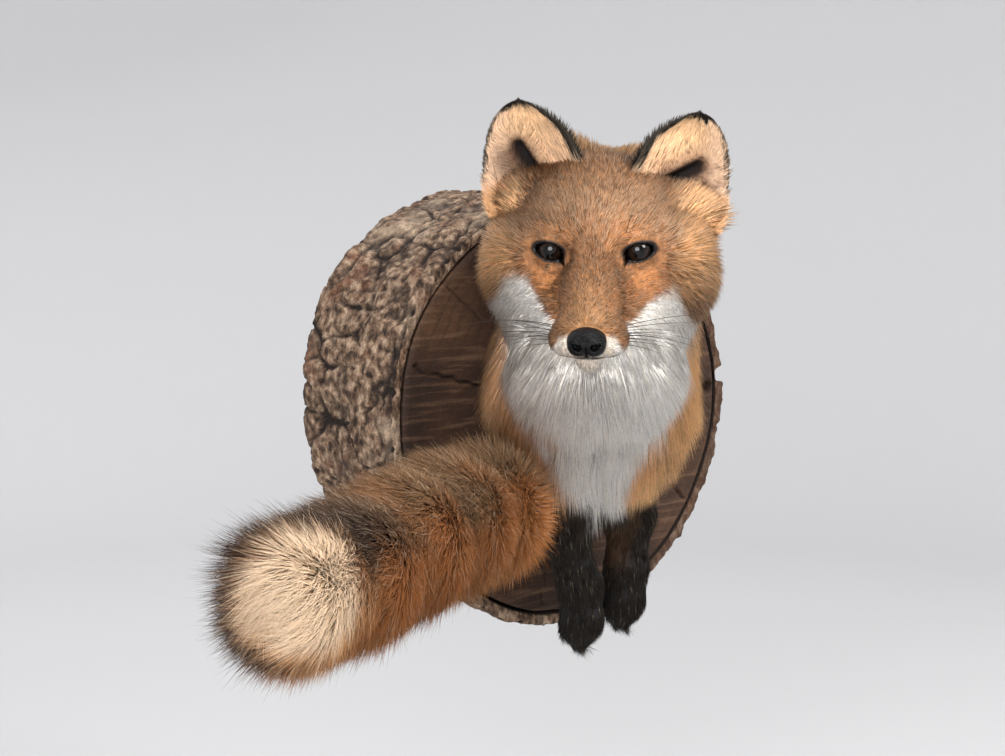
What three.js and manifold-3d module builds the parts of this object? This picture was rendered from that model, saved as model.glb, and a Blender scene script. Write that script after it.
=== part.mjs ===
// Life-size red fox, mounted for a wall: head, neck, chest, both forelegs and the brush come out of a slice of log.
// Millimetres. +Z is up and +Y points into the wall. The origin is the middle of the log's flat back, which hangs
// against the wall. Left and right are the fox's own. The outlines reach out to the tips of the coat.
import * as THREE from "three";
import { mergeVertices } from "three/addons/utils/BufferGeometryUtils.js";
import Module from "manifold-3d";

const wasm = await Module();
wasm.setup();

// ---------- driving dimensions ----------
const GAP = 0.35; // between pieces that touch
const ROOM = 1; // round a faceted mass that another is cut to fit

const LOG = {
  back: 140, // radius out to the bark, at the wall
  front: 147, // and at the sawn face
  depth: 101,
  bark: 11, // thickness of the bark
  plates: 9, // the bark has cracked into this many plates
  shift: [8, -9], // the log's axis leans: how far the front's middle is from the back's
};
const FACE_Y = -LOG.depth; // the sawn face that the fox comes out of

const HEAD = { eyes: [-70, -215, 106], yaw: -45, pitch: -11, roll: 0 }; // the point between the eyes, and the turn
const EYE = { apart: 50, radius: 9.2, back: 1.5 };
const NOSE = { width: 22, height: 15, length: 14, place: [0, -74, -34] };
const EAR = { height: 70, width: 60, thick: 7, cup: 15, buried: 14 };
const EARS = {
  right: { root: [-40, 40, 27], lean: -12, turn: -14 },
  left: { root: [47.5, 40, 20], lean: 18, turn: 22 },
};
// Stations along the brush: where its middle is, and the radius there.
const TAIL = [
  [-52, -88, -72, 36],
  [-70, -120, -64, 44],
  [-98, -145, -57, 51],
  [-143, -170, -54, 53],
  [-196, -200, -54, 53],
  [-250, -230, -57, 52],
  [-304, -258, -59, 50],
];

// ---------- placing ----------
const V = (x, y, z) => new THREE.Vector3(x, y, z);
const rad = THREE.MathUtils.degToRad;

const headFrame = new THREE.Matrix4()
  .makeRotationFromEuler(new THREE.Euler(rad(-HEAD.pitch), rad(HEAD.roll), rad(HEAD.yaw), "ZYX"))
  .setPosition(...HEAD.eyes);
const intoHead = headFrame.clone().invert();

// ---------- soft masses: a field is negative inside ----------
const egg = (x, y, z, rx, ry, rz) => (p) => {
  const [a, b, c] = [(p.x - x) / rx, (p.y - y) / ry, (p.z - z) / rz];
  const near = Math.hypot(a, b, c);
  return near < 1e-6 ? -Math.min(rx, ry, rz) : (near * (near - 1)) / Math.hypot(a / rx, b / ry, c / rz);
};

const limb = (from, to, r0, r1) => {
  const [a, b] = [V(...from), V(...to)];
  const along = b.clone().sub(a);
  const size = along.lengthSq();
  return (p) => {
    const t = THREE.MathUtils.clamp(p.clone().sub(a).dot(along) / size, 0, 1);
    return p.distanceTo(a.clone().addScaledVector(along, t)) - THREE.MathUtils.lerp(r0, r1, t);
  };
};

const pair = (make) => [make(1), make(-1)];

// Keeps a mass clear of others.
const clearOf = (others, room, field) => (p) => Math.max(field(p), ...others.map((other) => room - other(p)));

// The nearer of two distances, with a round fillet of about k where the two masses meet.
const fillet = (k, a, b) => Math.min(a, b) - Math.max(k - Math.abs(a - b), 0) ** 2 / (4 * k);
const FAR = 1e6;
const blend = (k, masses) => (p) => masses.reduce((d, mass) => fillet(k, d, mass(p)), FAR);
const hollow = (k, field, masses) => (p) => masses.reduce((d, mass) => -fillet(k, -d, mass(p)), field(p));

// ---------- the fox's masses ----------
// In the head's own frame: the middle of the eyes is the origin, -Y is forwards and +Z is up.
const headMasses = hollow(
  9,
  blend(14, [
    egg(0, 38, 15, 46, 52, 39), // cranium
    ...pair((s) => egg(s * 22, 62, 31, 21, 18, 22)), // crown fur behind the ears
    egg(0, 10, 5, 40, 23, 25), // brow
    egg(0, 70, -2, 46, 34, 42), // nape
    ...pair((s) => egg(s * 40, 32, -16, 32, 40, 38)), // cheek ruff
    ...pair((s) => egg(s * 22, 16, -36, 28, 38, 28)), // jowl
    limb([0, -4, -13], [0, -60, -31], 24, 15), // muzzle
    ...pair((s) => egg(s * 12, -56, -38, 12, 15, 11)), // whisker pad
    limb([0, 5, -44], [0, -53, -51], 16, 8), // lower jaw
    egg(0, 8, -60, 42, 42, 30), // throat
  ]),
  pair((s) => egg(s * 29, -14, 0, 15, 14, 10)), // eye socket
);

const neckMasses = blend(30, [
  limb([-16, -162, 84], [-18, -156, 22], 62, 67), // neck
  limb([4, -112, 40], [6, -112, 0], 62, 60), // shoulders, in the sawn face
  limb([-18, -154, 12], [-20, -156, -38], 58, 18), // bib
]);

const foxField = (p) => fillet(34, headMasses(p.clone().applyMatrix4(intoHead)), neckMasses(p));

const tailField = blend(8, TAIL.slice(1).map((to, i) => limb(TAIL[i], to, TAIL[i][3], to[3])));

// A foreleg: the forearm comes out of the sawn face, and the foot hangs from the bent wrist.
const legField = ({ wrist, toe, sway }) => {
  const shoulder = [wrist[0], FACE_Y - 10, wrist[2] + 22];
  const at = (f, side = 0, out = 0) => V(...wrist).lerp(V(...toe), f).add(V(side, -out, 0)).toArray();
  return blend(8, [
    limb(shoulder, wrist, 21, 20), // forearm
    limb(wrist, at(0.45, sway), 20, 17.5), // wrist to foot
    limb(at(0.45, sway), at(0.72, sway * 0.8), 17.5, 19), // foot
    ...pair((s) => limb(at(0.66, sway * 0.8, 2), at(0.9, s * 5 + sway * 0.3), 12, 7.5)), // middle toes
    ...pair((s) => limb(at(0.62, sway * 0.8, -1), at(0.8, s * 12 + sway * 0.5, -1), 10, 7)), // outer toes
  ]);
};
const LEGS = {
  right: { wrist: [-31, -142, -77], toe: [-7, -130, -167], sway: 8 },
  left: { wrist: [28, -140, -75], toe: [32, -128, -158], sway: 1 },
};

// ---------- solids ----------
const toSolid = (geometry) => {
  const plain = geometry.clone();
  plain.deleteAttribute("normal");
  plain.deleteAttribute("uv");
  const merged = mergeVertices(plain, 1e-3);
  const vertProperties = new Float32Array(merged.attributes.position.array);
  return new wasm.Manifold(new wasm.Mesh({ numProp: 3, vertProperties, triVerts: new Uint32Array(merged.index.array) }));
};

// The surface where field equals level, by surface nets on a grid of the given step, then drawn onto the surface.
function netSolid(field, low, high, step, level = 0) {
  const n = low.map((v, i) => Math.ceil((high[i] - v) / step) + 1);
  const at = (i, j, k) => (k * n[1] + j) * n[0] + i;
  const place = (i, j, k) => V(low[0] + i * step, low[1] + j * step, low[2] + k * step);
  const value = new Float64Array(n[0] * n[1] * n[2]);
  for (let k = 0; k < n[2]; k++)
    for (let j = 0; j < n[1]; j++)
      for (let i = 0; i < n[0]; i++) value[at(i, j, k)] = field(place(i, j, k)) - level;

  const corners = [0, 1, 2, 3, 4, 5, 6, 7].map((c) => [c & 1, (c >> 1) & 1, (c >> 2) & 1]);
  const edges = corners.flatMap((a, x) =>
    corners.slice(x + 1).filter((b) => a.reduce((s, v, i) => s + Math.abs(v - b[i]), 0) === 1).map((b) => [a, b]),
  );
  const pulled = (p) => {
    const slope = V(0, 0, 0);
    for (const axis of ["x", "y", "z"]) {
      const [ahead, behind] = [p.clone(), p.clone()];
      ahead[axis] += 0.5;
      behind[axis] -= 0.5;
      slope[axis] = field(ahead) - field(behind);
    }
    return p.addScaledVector(slope, -(field(p) - level) / Math.max(slope.lengthSq(), 0.05));
  };

  const points = [];
  const cell = new Map();
  for (let k = 0; k < n[2] - 1; k++)
    for (let j = 0; j < n[1] - 1; j++)
      for (let i = 0; i < n[0] - 1; i++) {
        const middle = V(0, 0, 0);
        let crossings = 0;
        for (const [a, b] of edges) {
          const [u, v] = [a, b].map((c) => value[at(i + c[0], j + c[1], k + c[2])]);
          if (u < 0 === v < 0) continue;
          const [from, to] = [a, b].map((c) => place(i + c[0], j + c[1], k + c[2]));
          middle.add(from.lerp(to, u / (u - v)));
          crossings++;
        }
        if (!crossings) continue;
        cell.set(at(i, j, k), points.length / 3);
        points.push(...pulled(middle.divideScalar(crossings)).toArray());
      }

  const faces = [];
  const quad = (a, b, c, d, flip) => faces.push(...(flip ? [a, c, b, a, d, c] : [a, b, c, a, c, d]));
  for (let k = 1; k < n[2] - 1; k++)
    for (let j = 1; j < n[1] - 1; j++)
      for (let i = 1; i < n[0] - 1; i++) {
        const inside = value[at(i, j, k)] < 0;
        const around = (du, dv) => [
          [-du[0] - dv[0], -du[1] - dv[1], -du[2] - dv[2]],
          [-dv[0], -dv[1], -dv[2]],
          [0, 0, 0],
          [-du[0], -du[1], -du[2]],
        ].map((o) => cell.get(at(i + o[0], j + o[1], k + o[2])));
        if (inside !== value[at(i + 1, j, k)] < 0) quad(...around([0, 1, 0], [0, 0, 1]), !inside);
        if (inside !== value[at(i, j + 1, k)] < 0) quad(...around([0, 0, 1], [1, 0, 0]), !inside);
        if (inside !== value[at(i, j, k + 1)] < 0) quad(...around([1, 0, 0], [0, 1, 0]), !inside);
      }
  const geometry = new THREE.BufferGeometry();
  geometry.setAttribute("position", new THREE.Float32BufferAttribute(points, 3));
  geometry.setIndex(faces);
  return toSolid(geometry);
}

// A box of many small faces, each of whose points is moved by warp(u, v, w), with u, v and w from -1 to 1.
function warpedBox(nu, nv, nw, warp) {
  const geometry = new THREE.BoxGeometry(2, 2, 2, nu, nv, nw);
  const position = geometry.attributes.position;
  for (let i = 0; i < position.count; i++)
    position.setXYZ(i, ...warp(position.getX(i), position.getY(i), position.getZ(i)).toArray());
  return toSolid(geometry);
}

const halfSpace = (normal, point) => {
  const n = V(...normal).normalize();
  return { n, d: n.dot(V(...point)) };
};
// The two sides of a thin cut: what lies ahead of the plane, and what lies behind it.
const ahead = (solid, { n, d }) => solid.trimByPlane(n.toArray(), d + GAP / 2);
const behind = (solid, { n, d }) => solid.trimByPlane(n.clone().negate().toArray(), -d + GAP / 2);
const headPlane = (normal, point) =>
  halfSpace(
    V(...normal).transformDirection(headFrame).toArray(),
    V(...point).applyMatrix4(headFrame).toArray(),
  );

// ---------- the log ----------
// How far the bark reaches from the log's axis, at angle a.
const logRadius = (a, depth) => {
  const round = THREE.MathUtils.lerp(LOG.back, LOG.front, depth / LOG.depth);
  return round * (1 + 0.008 * Math.cos(2 * a + 0.6) + 0.008 * Math.cos(3 * a - 1.1) + 0.004 * Math.cos(7 * a));
};
const logPoint = (a, r, depth) => {
  const front = depth / LOG.depth;
  return V(LOG.shift[0] * front + r * Math.cos(a), -depth, LOG.shift[1] * front + r * Math.sin(a));
};

function woodSolid() {
  const turns = 72;
  const geometry = new THREE.CylinderGeometry(1, 1, 1, turns, 1);
  const position = geometry.attributes.position;
  for (let i = 0; i < position.count; i++) {
    const [x, y, z] = [position.getX(i), position.getY(i), position.getZ(i)];
    const a = Math.atan2(z, x);
    const depth = (0.5 - y) * LOG.depth;
    const p = logPoint(a, Math.hypot(x, z) * (logRadius(a, depth) - LOG.bark), depth);
    position.setXYZ(i, p.x, p.y, p.z);
  }
  return toSolid(geometry);
}

function barkSolid(index) {
  const turn = (2 * Math.PI) / LOG.plates;
  const crack = 0.012;
  const relief = (a, depth) => 1.6 * Math.sin(9 * a + 0.05 * depth) + 1.4 * Math.sin(0.11 * depth + 5 * a);
  return warpedBox(5, 3, 1, (u, v, w) => {
    const a = (index + 0.5) * turn - u * (turn / 2 - crack);
    const depth = ((1 - v) / 2) * LOG.depth;
    const inner = logRadius(a, depth) - LOG.bark + GAP + 0.4;
    const outer = logRadius(a, depth) + relief(a, depth);
    return logPoint(a, w > 0 ? outer : inner, depth);
  });
}

// ---------- the fox ----------
const HEAD_STEP = 10.2;
const BODY_STEP = 14.5;
const LEG_STEP = 9.5;
const TAIL_STEP = 16;
const foxLow = [-180, -310, -100];
const foxHigh = [90, -30, 200];

const legOf = (side, level) => {
  const { wrist, toe } = LEGS[side];
  const low = [wrist[0] - 40, -190, -185];
  const high = [wrist[0] + 60, -80, -10];
  return netSolid(legField(LEGS[side]), low, high, LEG_STEP, level);
};
const sawnFace = halfSpace([0, -1, 0], [0, FACE_Y, 0]);
const legWhole = { left: ahead(legOf("left", 0), sawnFace), right: ahead(legOf("right", 0), sawnFace) };
const legRoom = { left: legOf("left", ROOM), right: legOf("right", ROOM) };

const fox = (step, level) => ahead(netSolid(foxField, foxLow, foxHigh, step, level), sawnFace);

const neckCut = halfSpace([-0.13, -0.31, 0.94], [-36, -175, 60]); // points at the head
const chestCut = halfSpace([0, 0, 1], [0, 0, 22]);

const group = new THREE.Group();
function addNode(name, solid, colour, roughness) {
  const mesh = solid.getMesh();
  const geometry = new THREE.BufferGeometry();
  geometry.setAttribute("position", new THREE.BufferAttribute(new Float32Array(mesh.vertProperties), 3));
  geometry.setIndex(new THREE.BufferAttribute(new Uint32Array(mesh.triVerts), 1));
  geometry.computeVertexNormals();
  const made = new THREE.Mesh(geometry, new THREE.MeshStandardMaterial({ color: colour, roughness, metalness: 0 }));
  made.name = name;
  group.add(made);
}

// eyes, nose and ears
const eyeSolid = (s, grow = 0) => {
  const geometry = new THREE.SphereGeometry(EYE.radius + grow, 12, 8);
  geometry.translate((s * EYE.apart) / 2, EYE.back, 0);
  return toSolid(geometry.applyMatrix4(headFrame));
};
const noseSolid = (grow = 0) => {
  const geometry = new THREE.SphereGeometry(1, 12, 8);
  geometry.scale(NOSE.width / 2 + grow, NOSE.length / 2 + grow, NOSE.height / 2 + grow);
  geometry.translate(...NOSE.place);
  return toSolid(geometry.applyMatrix4(headFrame));
};
// An ear is a cupped leaf, wider towards the crown: u runs across it, v from base to tip, and w through it.
const earSolid = (s) => {
  const { root, lean, turn } = EARS[s > 0 ? "left" : "right"];
  return warpedBox(7, 7, 1, (u, v, w) => {
    const t = (v + 1) / 2;
    const half = (EAR.width / 2) * Math.max(1 - t ** 2.1, 0.004) ** 0.57 * (1 + 0.12 * t);
    const crownwards = Math.max(-s * u, 0) * (1 - THREE.MathUtils.smoothstep(t, 0.55, 0.98));
    const cup = EAR.cup * (1 - 0.6 * t) * (1 - u * u);
    const p = V(u * half * (1 + 0.3 * crownwards), cup - (w * EAR.thick * (1 - 0.45 * t)) / 2, t * EAR.height - EAR.buried);
    p.applyEuler(new THREE.Euler(rad(-4), rad(lean), rad(turn), "ZYX"));
    p.add(V(...root));
    return p.applyMatrix4(headFrame);
  });
};

const headAlone = ahead(fox(HEAD_STEP, 0), neckCut)
  .subtract(eyeSolid(1, GAP))
  .subtract(eyeSolid(-1, GAP))
  .subtract(noseSolid(GAP));
const muzzleCut = headPlane([0, 1, 0], [0, -22, 0]); // points back
const jawCut = headPlane([0, 0.08, 1], [0, -60, -46.5]); // points up
const muzzleAll = behind(headAlone, muzzleCut);
addNode("head", ahead(headAlone, muzzleCut), 0xb5763f, 0.9);
addNode("muzzle", ahead(muzzleAll, jawCut), 0xb07a48, 0.9);
addNode("jaw", behind(muzzleAll, jawCut), 0xe6e0d8, 0.9);
const headRoom = fox(HEAD_STEP, ROOM);
for (const [side, s] of [["left", 1], ["right", -1]]) {
  addNode("eye_" + side, eyeSolid(s), 0x0b0a0a, 0.08);
  addNode("ear_" + side, earSolid(s).subtract(headRoom), 0xa8794c, 0.9);
}
addNode("nose", noseSolid(), 0x151416, 0.45);

// neck and chest
const trunk = fox(BODY_STEP, 0).subtract(legRoom.left).subtract(legRoom.right);
const belowHead = behind(trunk, neckCut);
addNode("neck", ahead(belowHead, chestCut), 0xc9a683, 0.9);
addNode("chest", behind(belowHead, chestCut), 0xdcd5cc, 0.9);

// forelegs
for (const side of ["left", "right"]) {
  const { wrist, toe } = LEGS[side];
  const down = V(...toe).sub(V(...wrist));
  const pawCut = halfSpace(down.toArray(), V(...wrist).addScaledVector(down, 0.42).toArray());
  addNode("foreleg_" + side, behind(legWhole[side], pawCut), 0x2a1d18, 0.85);
  addNode("forepaw_" + side, ahead(legWhole[side], pawCut), 0x1d1513, 0.85);
}

// the brush
const legFields = Object.values(LEGS).map(legField);
const brushField = clearOf([foxField, ...legFields], 2.4 * ROOM, tailField);
const brush = ahead(netSolid(brushField, [-375, -330, -130], [10, -30, 15], TAIL_STEP), sawnFace);
const tailCutAfter = (i) => {
  const [a, b] = [V(...TAIL[i]), V(...TAIL[i + 1])];
  return halfSpace(b.sub(a).toArray(), TAIL[i]);
};
const [tailCutA, tailCutB] = [2, 4].map(tailCutAfter);
addNode("tail_base", behind(brush, tailCutA), 0x8a6038, 0.95);
addNode("tail_middle", behind(ahead(brush, tailCutA), tailCutB), 0x9a6430, 0.95);
addNode("tail_tip", ahead(brush, tailCutB), 0xd8bf96, 0.95);

// the log
addNode("log_wood", woodSolid(), 0x4a382c, 0.85);
for (let i = 0; i < LOG.plates; i++) addNode("log_bark_" + (i + 1), barkSolid(i), 0x6b5a4a, 0.95);

export default group;
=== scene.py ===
# Life-size red fox mounted on a slice of log, for a wall: skin, eyes, nose, coat, whiskers, wood and bark.
# Shapes are worked out in millimetres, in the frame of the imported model, and made in metres.
import math

import bmesh
import bpy
import numpy as np
from mathutils import Matrix, Vector


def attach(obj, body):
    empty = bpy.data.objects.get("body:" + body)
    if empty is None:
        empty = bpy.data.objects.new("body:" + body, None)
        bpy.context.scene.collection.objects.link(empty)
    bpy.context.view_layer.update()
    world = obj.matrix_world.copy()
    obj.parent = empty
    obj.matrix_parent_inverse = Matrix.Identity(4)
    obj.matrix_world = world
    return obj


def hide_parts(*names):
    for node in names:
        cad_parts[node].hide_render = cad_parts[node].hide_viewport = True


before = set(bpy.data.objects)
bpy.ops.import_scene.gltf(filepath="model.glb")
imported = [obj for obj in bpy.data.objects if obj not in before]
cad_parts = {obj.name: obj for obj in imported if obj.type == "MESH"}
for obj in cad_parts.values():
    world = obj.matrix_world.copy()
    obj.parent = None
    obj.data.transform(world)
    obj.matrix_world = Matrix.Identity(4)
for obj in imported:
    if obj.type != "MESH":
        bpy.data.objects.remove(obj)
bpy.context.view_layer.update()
MM = 0.001
RNG = np.random.default_rng(7)

# ---------- driving dimensions, as the solids have them ----------
LOG = {"back": 140, "front": 147, "depth": 101, "bark": 11, "shift": (8, -9)}
FACE_Y = -LOG["depth"]
HEAD_EYES = np.array([-70.0, -215.0, 106.0])
HEAD_YAW, HEAD_PITCH = -45, -11
EYE = {"apart": 50, "radius": 9.2, "back": 1.5}
NOSE = {"width": 22, "height": 15, "length": 14, "place": (0, -74, -34)}
EAR = {"height": 70, "width": 60, "thick": 7, "cup": 15, "buried": 14, "slot": 3.7}
EARS = {
    "right": {"root": (-40, 40, 27), "lean": -12, "turn": -14, "slot": ((-9, 42), (0, 20))},
    "left": {"root": (47.5, 40, 20), "lean": 18, "turn": 22, "slot": ((13, 38), (-4, 24))},
}
TAIL = np.array([
    (-52, -88, -72, 36),
    (-70, -120, -64, 44),
    (-98, -145, -57, 51),
    (-143, -170, -54, 53),
    (-196, -200, -54, 53),
    (-250, -230, -57, 52),
    (-304, -258, -59, 50),
], float)
LEGS = {
    "right": {"wrist": (-31, -142, -77), "toe": (-7, -130, -167), "sway": 8},
    "left": {"wrist": (28, -140, -75), "toe": (32, -128, -158), "sway": 1},
}

# how the photo was taken: width and focal length in pixels, angles in degrees, distance in metres
PHOTO = {"width": 1005, "focal": 1804, "azimuth": -38.5, "elevation": 7, "away": 1.3}

# ---------- small maths ----------


def arr(*v):
    return np.array(v, float)


def unit(v):
    return v / np.maximum(np.linalg.norm(v, axis=-1, keepdims=True), 1e-9)


def ramp(x, low, high):
    """0 below low, 1 above high, smooth between."""
    t = np.clip((x - low) / (high - low), 0, 1)
    return t * t * (3 - 2 * t)


def mix(a, b, t):
    t = np.asarray(t)[..., None] if np.ndim(t) else t
    return a + (b - a) * t


def lerp(a, b, t):
    """mix for plain numbers."""
    return a + (b - a) * t


HASH = np.random.default_rng(11).random(4096)


def hash_key(cell):
    """A number for each cell of a grid, to look up in HASH by its last 12 bits."""
    return cell[..., 0] * 73856093 ^ cell[..., 1] * 19349663 ^ cell[..., 2] * 83492791


def noise(p, size, seed=0):
    """Smooth value noise from 0 to 1 with lumps about size across."""
    q = np.asarray(p, float) / size + seed * 17.31
    i = np.floor(q).astype(np.int64)
    f = q - i
    f = f * f * (3 - 2 * f)
    total = 0
    for dx in (0, 1):
        for dy in (0, 1):
            for dz in (0, 1):
                key = hash_key(i + np.array([dx, dy, dz]))
                w = (f[..., 0] if dx else 1 - f[..., 0]) * (f[..., 1] if dy else 1 - f[..., 1])
                total = total + HASH[key & 4095] * w * (f[..., 2] if dz else 1 - f[..., 2])
    return total


def rough(p, size, octaves=3, seed=0):
    total, weight = 0, 0
    for o in range(octaves):
        total = total + noise(p, size / 2**o, seed + o) / 2**o
        weight += 1 / 2**o
    return total / weight


# ---------- the head's own frame: eyes' middle at the origin, -Y forwards, +Z up ----------
HEAD_TURN = np.array(
    Matrix.Rotation(math.radians(HEAD_YAW), 3, "Z") @ Matrix.Rotation(math.radians(-HEAD_PITCH), 3, "X"))


def to_head(p):
    return (p - HEAD_EYES) @ HEAD_TURN


def from_head(h):
    return h @ HEAD_TURN.T + HEAD_EYES


def mirrored(h):
    """The same place on the left half of the head."""
    m = h * 1.0
    m[..., 0] = np.abs(m[..., 0])
    return m


# ---------- soft masses ----------


def egg(p, centre, radii):
    q = (p - arr(*centre)) / arr(*radii)
    near = np.linalg.norm(q, axis=-1)
    return near * (near - 1) / np.maximum(np.linalg.norm(q / arr(*radii), axis=-1), 1e-6)


def along(p, a, b):
    a, b = arr(*a), arr(*b)
    return np.clip(((p - a) @ (b - a)) / ((b - a) @ (b - a)), 0, 1)


def limb(p, a, b, r0, r1):
    t = along(p, a, b)
    return np.linalg.norm(p - mix(arr(*a), arr(*b), t), axis=-1) - (r0 + (r1 - r0) * t)


def fillet(k, a, b):
    return np.minimum(a, b) - np.maximum(k - np.abs(a - b), 0) ** 2 / (4 * k)


def blend(k, parts):
    total = parts[0]
    for part in parts[1:]:
        total = fillet(k, total, part)
    return total


def carve(k, body, tool):
    return -fillet(k, -body, tool)


def head_mass(h):
    m = mirrored(h)
    return blend(14, [
        egg(m, (0, 38, 15), (46, 52, 39)),
        egg(m, (22, 62, 31), (21, 18, 22)),
        egg(m, (0, 10, 5), (40, 23, 25)),
        egg(m, (0, 70, -2), (46, 34, 42)),
        egg(m, (40, 32, -16), (32, 40, 38)),
        egg(m, (22, 16, -36), (28, 38, 28)),
        limb(m, (0, -4, -13), (0, -60, -31), 24, 15),
        egg(m, (12, -56, -38), (12, 15, 11)),
        limb(m, (0, 5, -44), (0, -53, -51), 16, 8),
        egg(m, (0, 8, -60), (42, 42, 30)),
    ])


def neck_mass(p):
    return blend(30, [
        limb(p, (-16, -162, 84), (-18, -156, 22), 62, 67),
        limb(p, (4, -112, 40), (6, -112, 0), 62, 60),
        limb(p, (-18, -154, 12), (-20, -156, -38), 58, 18),
    ])


def leg_mass(p, side):
    wrist, toe, sway = arr(*LEGS[side]["wrist"]), arr(*LEGS[side]["toe"]), LEGS[side]["sway"]

    def at(f, x=0, out=0):
        return wrist + (toe - wrist) * f + arr(x, -out, 0)

    shoulder = arr(wrist[0], FACE_Y - 10, wrist[2] + 22)
    parts = [
        limb(p, shoulder, wrist, 21, 20),
        limb(p, wrist, at(0.45, sway), 20, 17.5),
        limb(p, at(0.45, sway), at(0.72, sway * 0.8), 17.5, 19),
    ]
    for s in (-1, 1):
        parts.append(limb(p, at(0.66, sway * 0.8, 2), at(0.9, s * 5 + sway * 0.3), 12, 7.5))
        parts.append(limb(p, at(0.62, sway * 0.8, -1), at(0.8, s * 12 + sway * 0.5, -1), 10, 7))
    return blend(8, parts)


def tail_mass(p, depth):
    """The brush, thinner than its coat by depth, and shorter at the tip."""
    stations = TAIL.copy()
    stations[:, 3] -= depth + np.linspace(0, 3, len(TAIL))
    return blend(8, [limb(p, a[:3], b[:3], a[3], b[3]) for a, b in zip(stations[:-1], stations[1:])])

# ---------- skin: inside the coat by its depth ----------
EYE_FORWARD = unit(arr(0.16, -0.985, 0.04))  # the left eye's; the right's is mirrored
EYE_CENTRE = arr(EYE["apart"] / 2, EYE["back"], 0)
LID = 1.3  # thickness of an eyelid
MOUTH = {"height": -46.5, "groove": 0.55, "deep": 2.5}
TAIL_DEPTH = 21
NECK_DEPTH = 12
LEG_DEPTH = 4.5
SKIN_END = FACE_Y - 0.3


def neck_share(head, neck):
    """0 on the head, 1 on the neck and chest, from the distances to both."""
    return ramp(head - neck, -12, 30)


def head_depth(h):
    x, y = np.abs(h[..., 0]), h[..., 1]
    depth = 2.0 + 1.5 * ramp(y, -35, 5) + 3.5 * ramp(y, 12, 60)
    return depth + 3.5 * ramp(x, 34, 60) * ramp(y, -5, 25)


def eyeball_distance(h):
    return np.linalg.norm(mirrored(h) - EYE_CENTRE, axis=-1) - EYE["radius"]


def mouth_line(h):
    return MOUTH["height"] + 1.5 * ramp(h[..., 1], -66, -40) + 0.02 * np.abs(h[..., 0])


def eye_local(h):
    """Across (outwards), up and forwards from the nearer eyeball's centre."""
    m = mirrored(h) - EYE_CENTRE
    across = unit(np.cross(EYE_FORWARD, arr(0, 0, 1)) * -1)
    up = np.cross(across, EYE_FORWARD) * -1
    up = up if up[2] > 0 else -up
    return np.stack([m @ across, m @ up, m @ EYE_FORWARD], -1)


def lid_opening(e):
    """About the distance in mm outside the eyelids' opening, in the eye's own plane."""
    tilt = math.radians(12)
    u = e[..., 0] * math.cos(tilt) + e[..., 1] * math.sin(tilt)
    v = -e[..., 0] * math.sin(tilt) + e[..., 1] * math.cos(tilt)
    half = np.where(v > 0, 5.4, 4.7)
    almond = ((np.abs(u / 8.9) ** 1.7 + np.abs(v / half) ** 2) ** 0.55 - 1) * 5
    c, s = math.cos(0.95), math.sin(0.95)
    a, b = u + 9.0, v + 3.6
    corner = (np.hypot((a * c + b * s) / 4.2, (-a * s + b * c) / 1.1) - 1) * 1.1
    return np.minimum(almond, corner)


def skin_field(p):
    h = to_head(p)
    head, neck = head_mass(h), neck_mass(p)
    soft = neck_share(head, neck)
    body = fillet(34, head, neck) + head_depth(h) * (1 - soft) + NECK_DEPTH * soft
    for ear in EARS.values():
        body = fillet(12, body, egg(h, arr(*ear["root"]) + arr(0, 4, -8), (18, 9, 15)))
    body = carve(9, body, egg(mirrored(h), (27, -16, 0), (14, 12.5, 9.5)))
    # eyelids, wrapped on the eyeball
    near = eyeball_distance(h)
    body = fillet(5, body, near - LID)
    e = eye_local(h)
    opening = np.maximum(np.maximum(lid_opening(e), -e[..., 2]), -0.5 - near)
    body = np.maximum(body, -opening)
    # mouth: the lower lip lies a little inside the upper, with a groove between
    y, z, line = h[..., 1], h[..., 2], mouth_line(h)
    front = 1 - ramp(y, -14, -6)
    body = body + 1.6 * ramp(line - z, -0.4, 0.8) * front * ramp(z, -62, -54)
    groove = np.maximum(np.abs(z - line) - MOUTH["groove"], -(body + MOUTH["deep"]))
    body = np.where(front > 0.5, np.maximum(body, -groove), body)
    # limbs and brush
    for side in LEGS:
        body = fillet(9, body, leg_mass(p, side) + LEG_DEPTH)
    body = fillet(14, body, tail_mass(p, TAIL_DEPTH))
    return np.maximum(body, p[..., 1] - SKIN_END)


def slope(field, p, e=0.35):
    g = np.stack([field(p + arr(*d) * e) - field(p - arr(*d) * e) for d in np.eye(3)], -1)
    return g / (2 * e)


def pull(field, p, steps=3):
    for _ in range(steps):
        g = slope(field, p)
        move = field(p) / np.maximum((g * g).sum(-1), 0.2)
        p = p - g * np.clip(move, -2, 2)[..., None]
    return p


def spaced(low, high, coarse, fine=()):
    """Grid lines from low to high, coarse apart, and closer within each (from, to, step) of fine."""
    lines, at = [low], low
    while at < high:
        step = min([coarse] + [s for a, b, s in fine if a <= at < b])
        at += step
        lines.append(at)
    return np.array(lines)


def sample(field, points, chunk=200000):
    return np.concatenate([field(points[i:i + chunk]) for i in range(0, len(points), chunk)])


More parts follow.
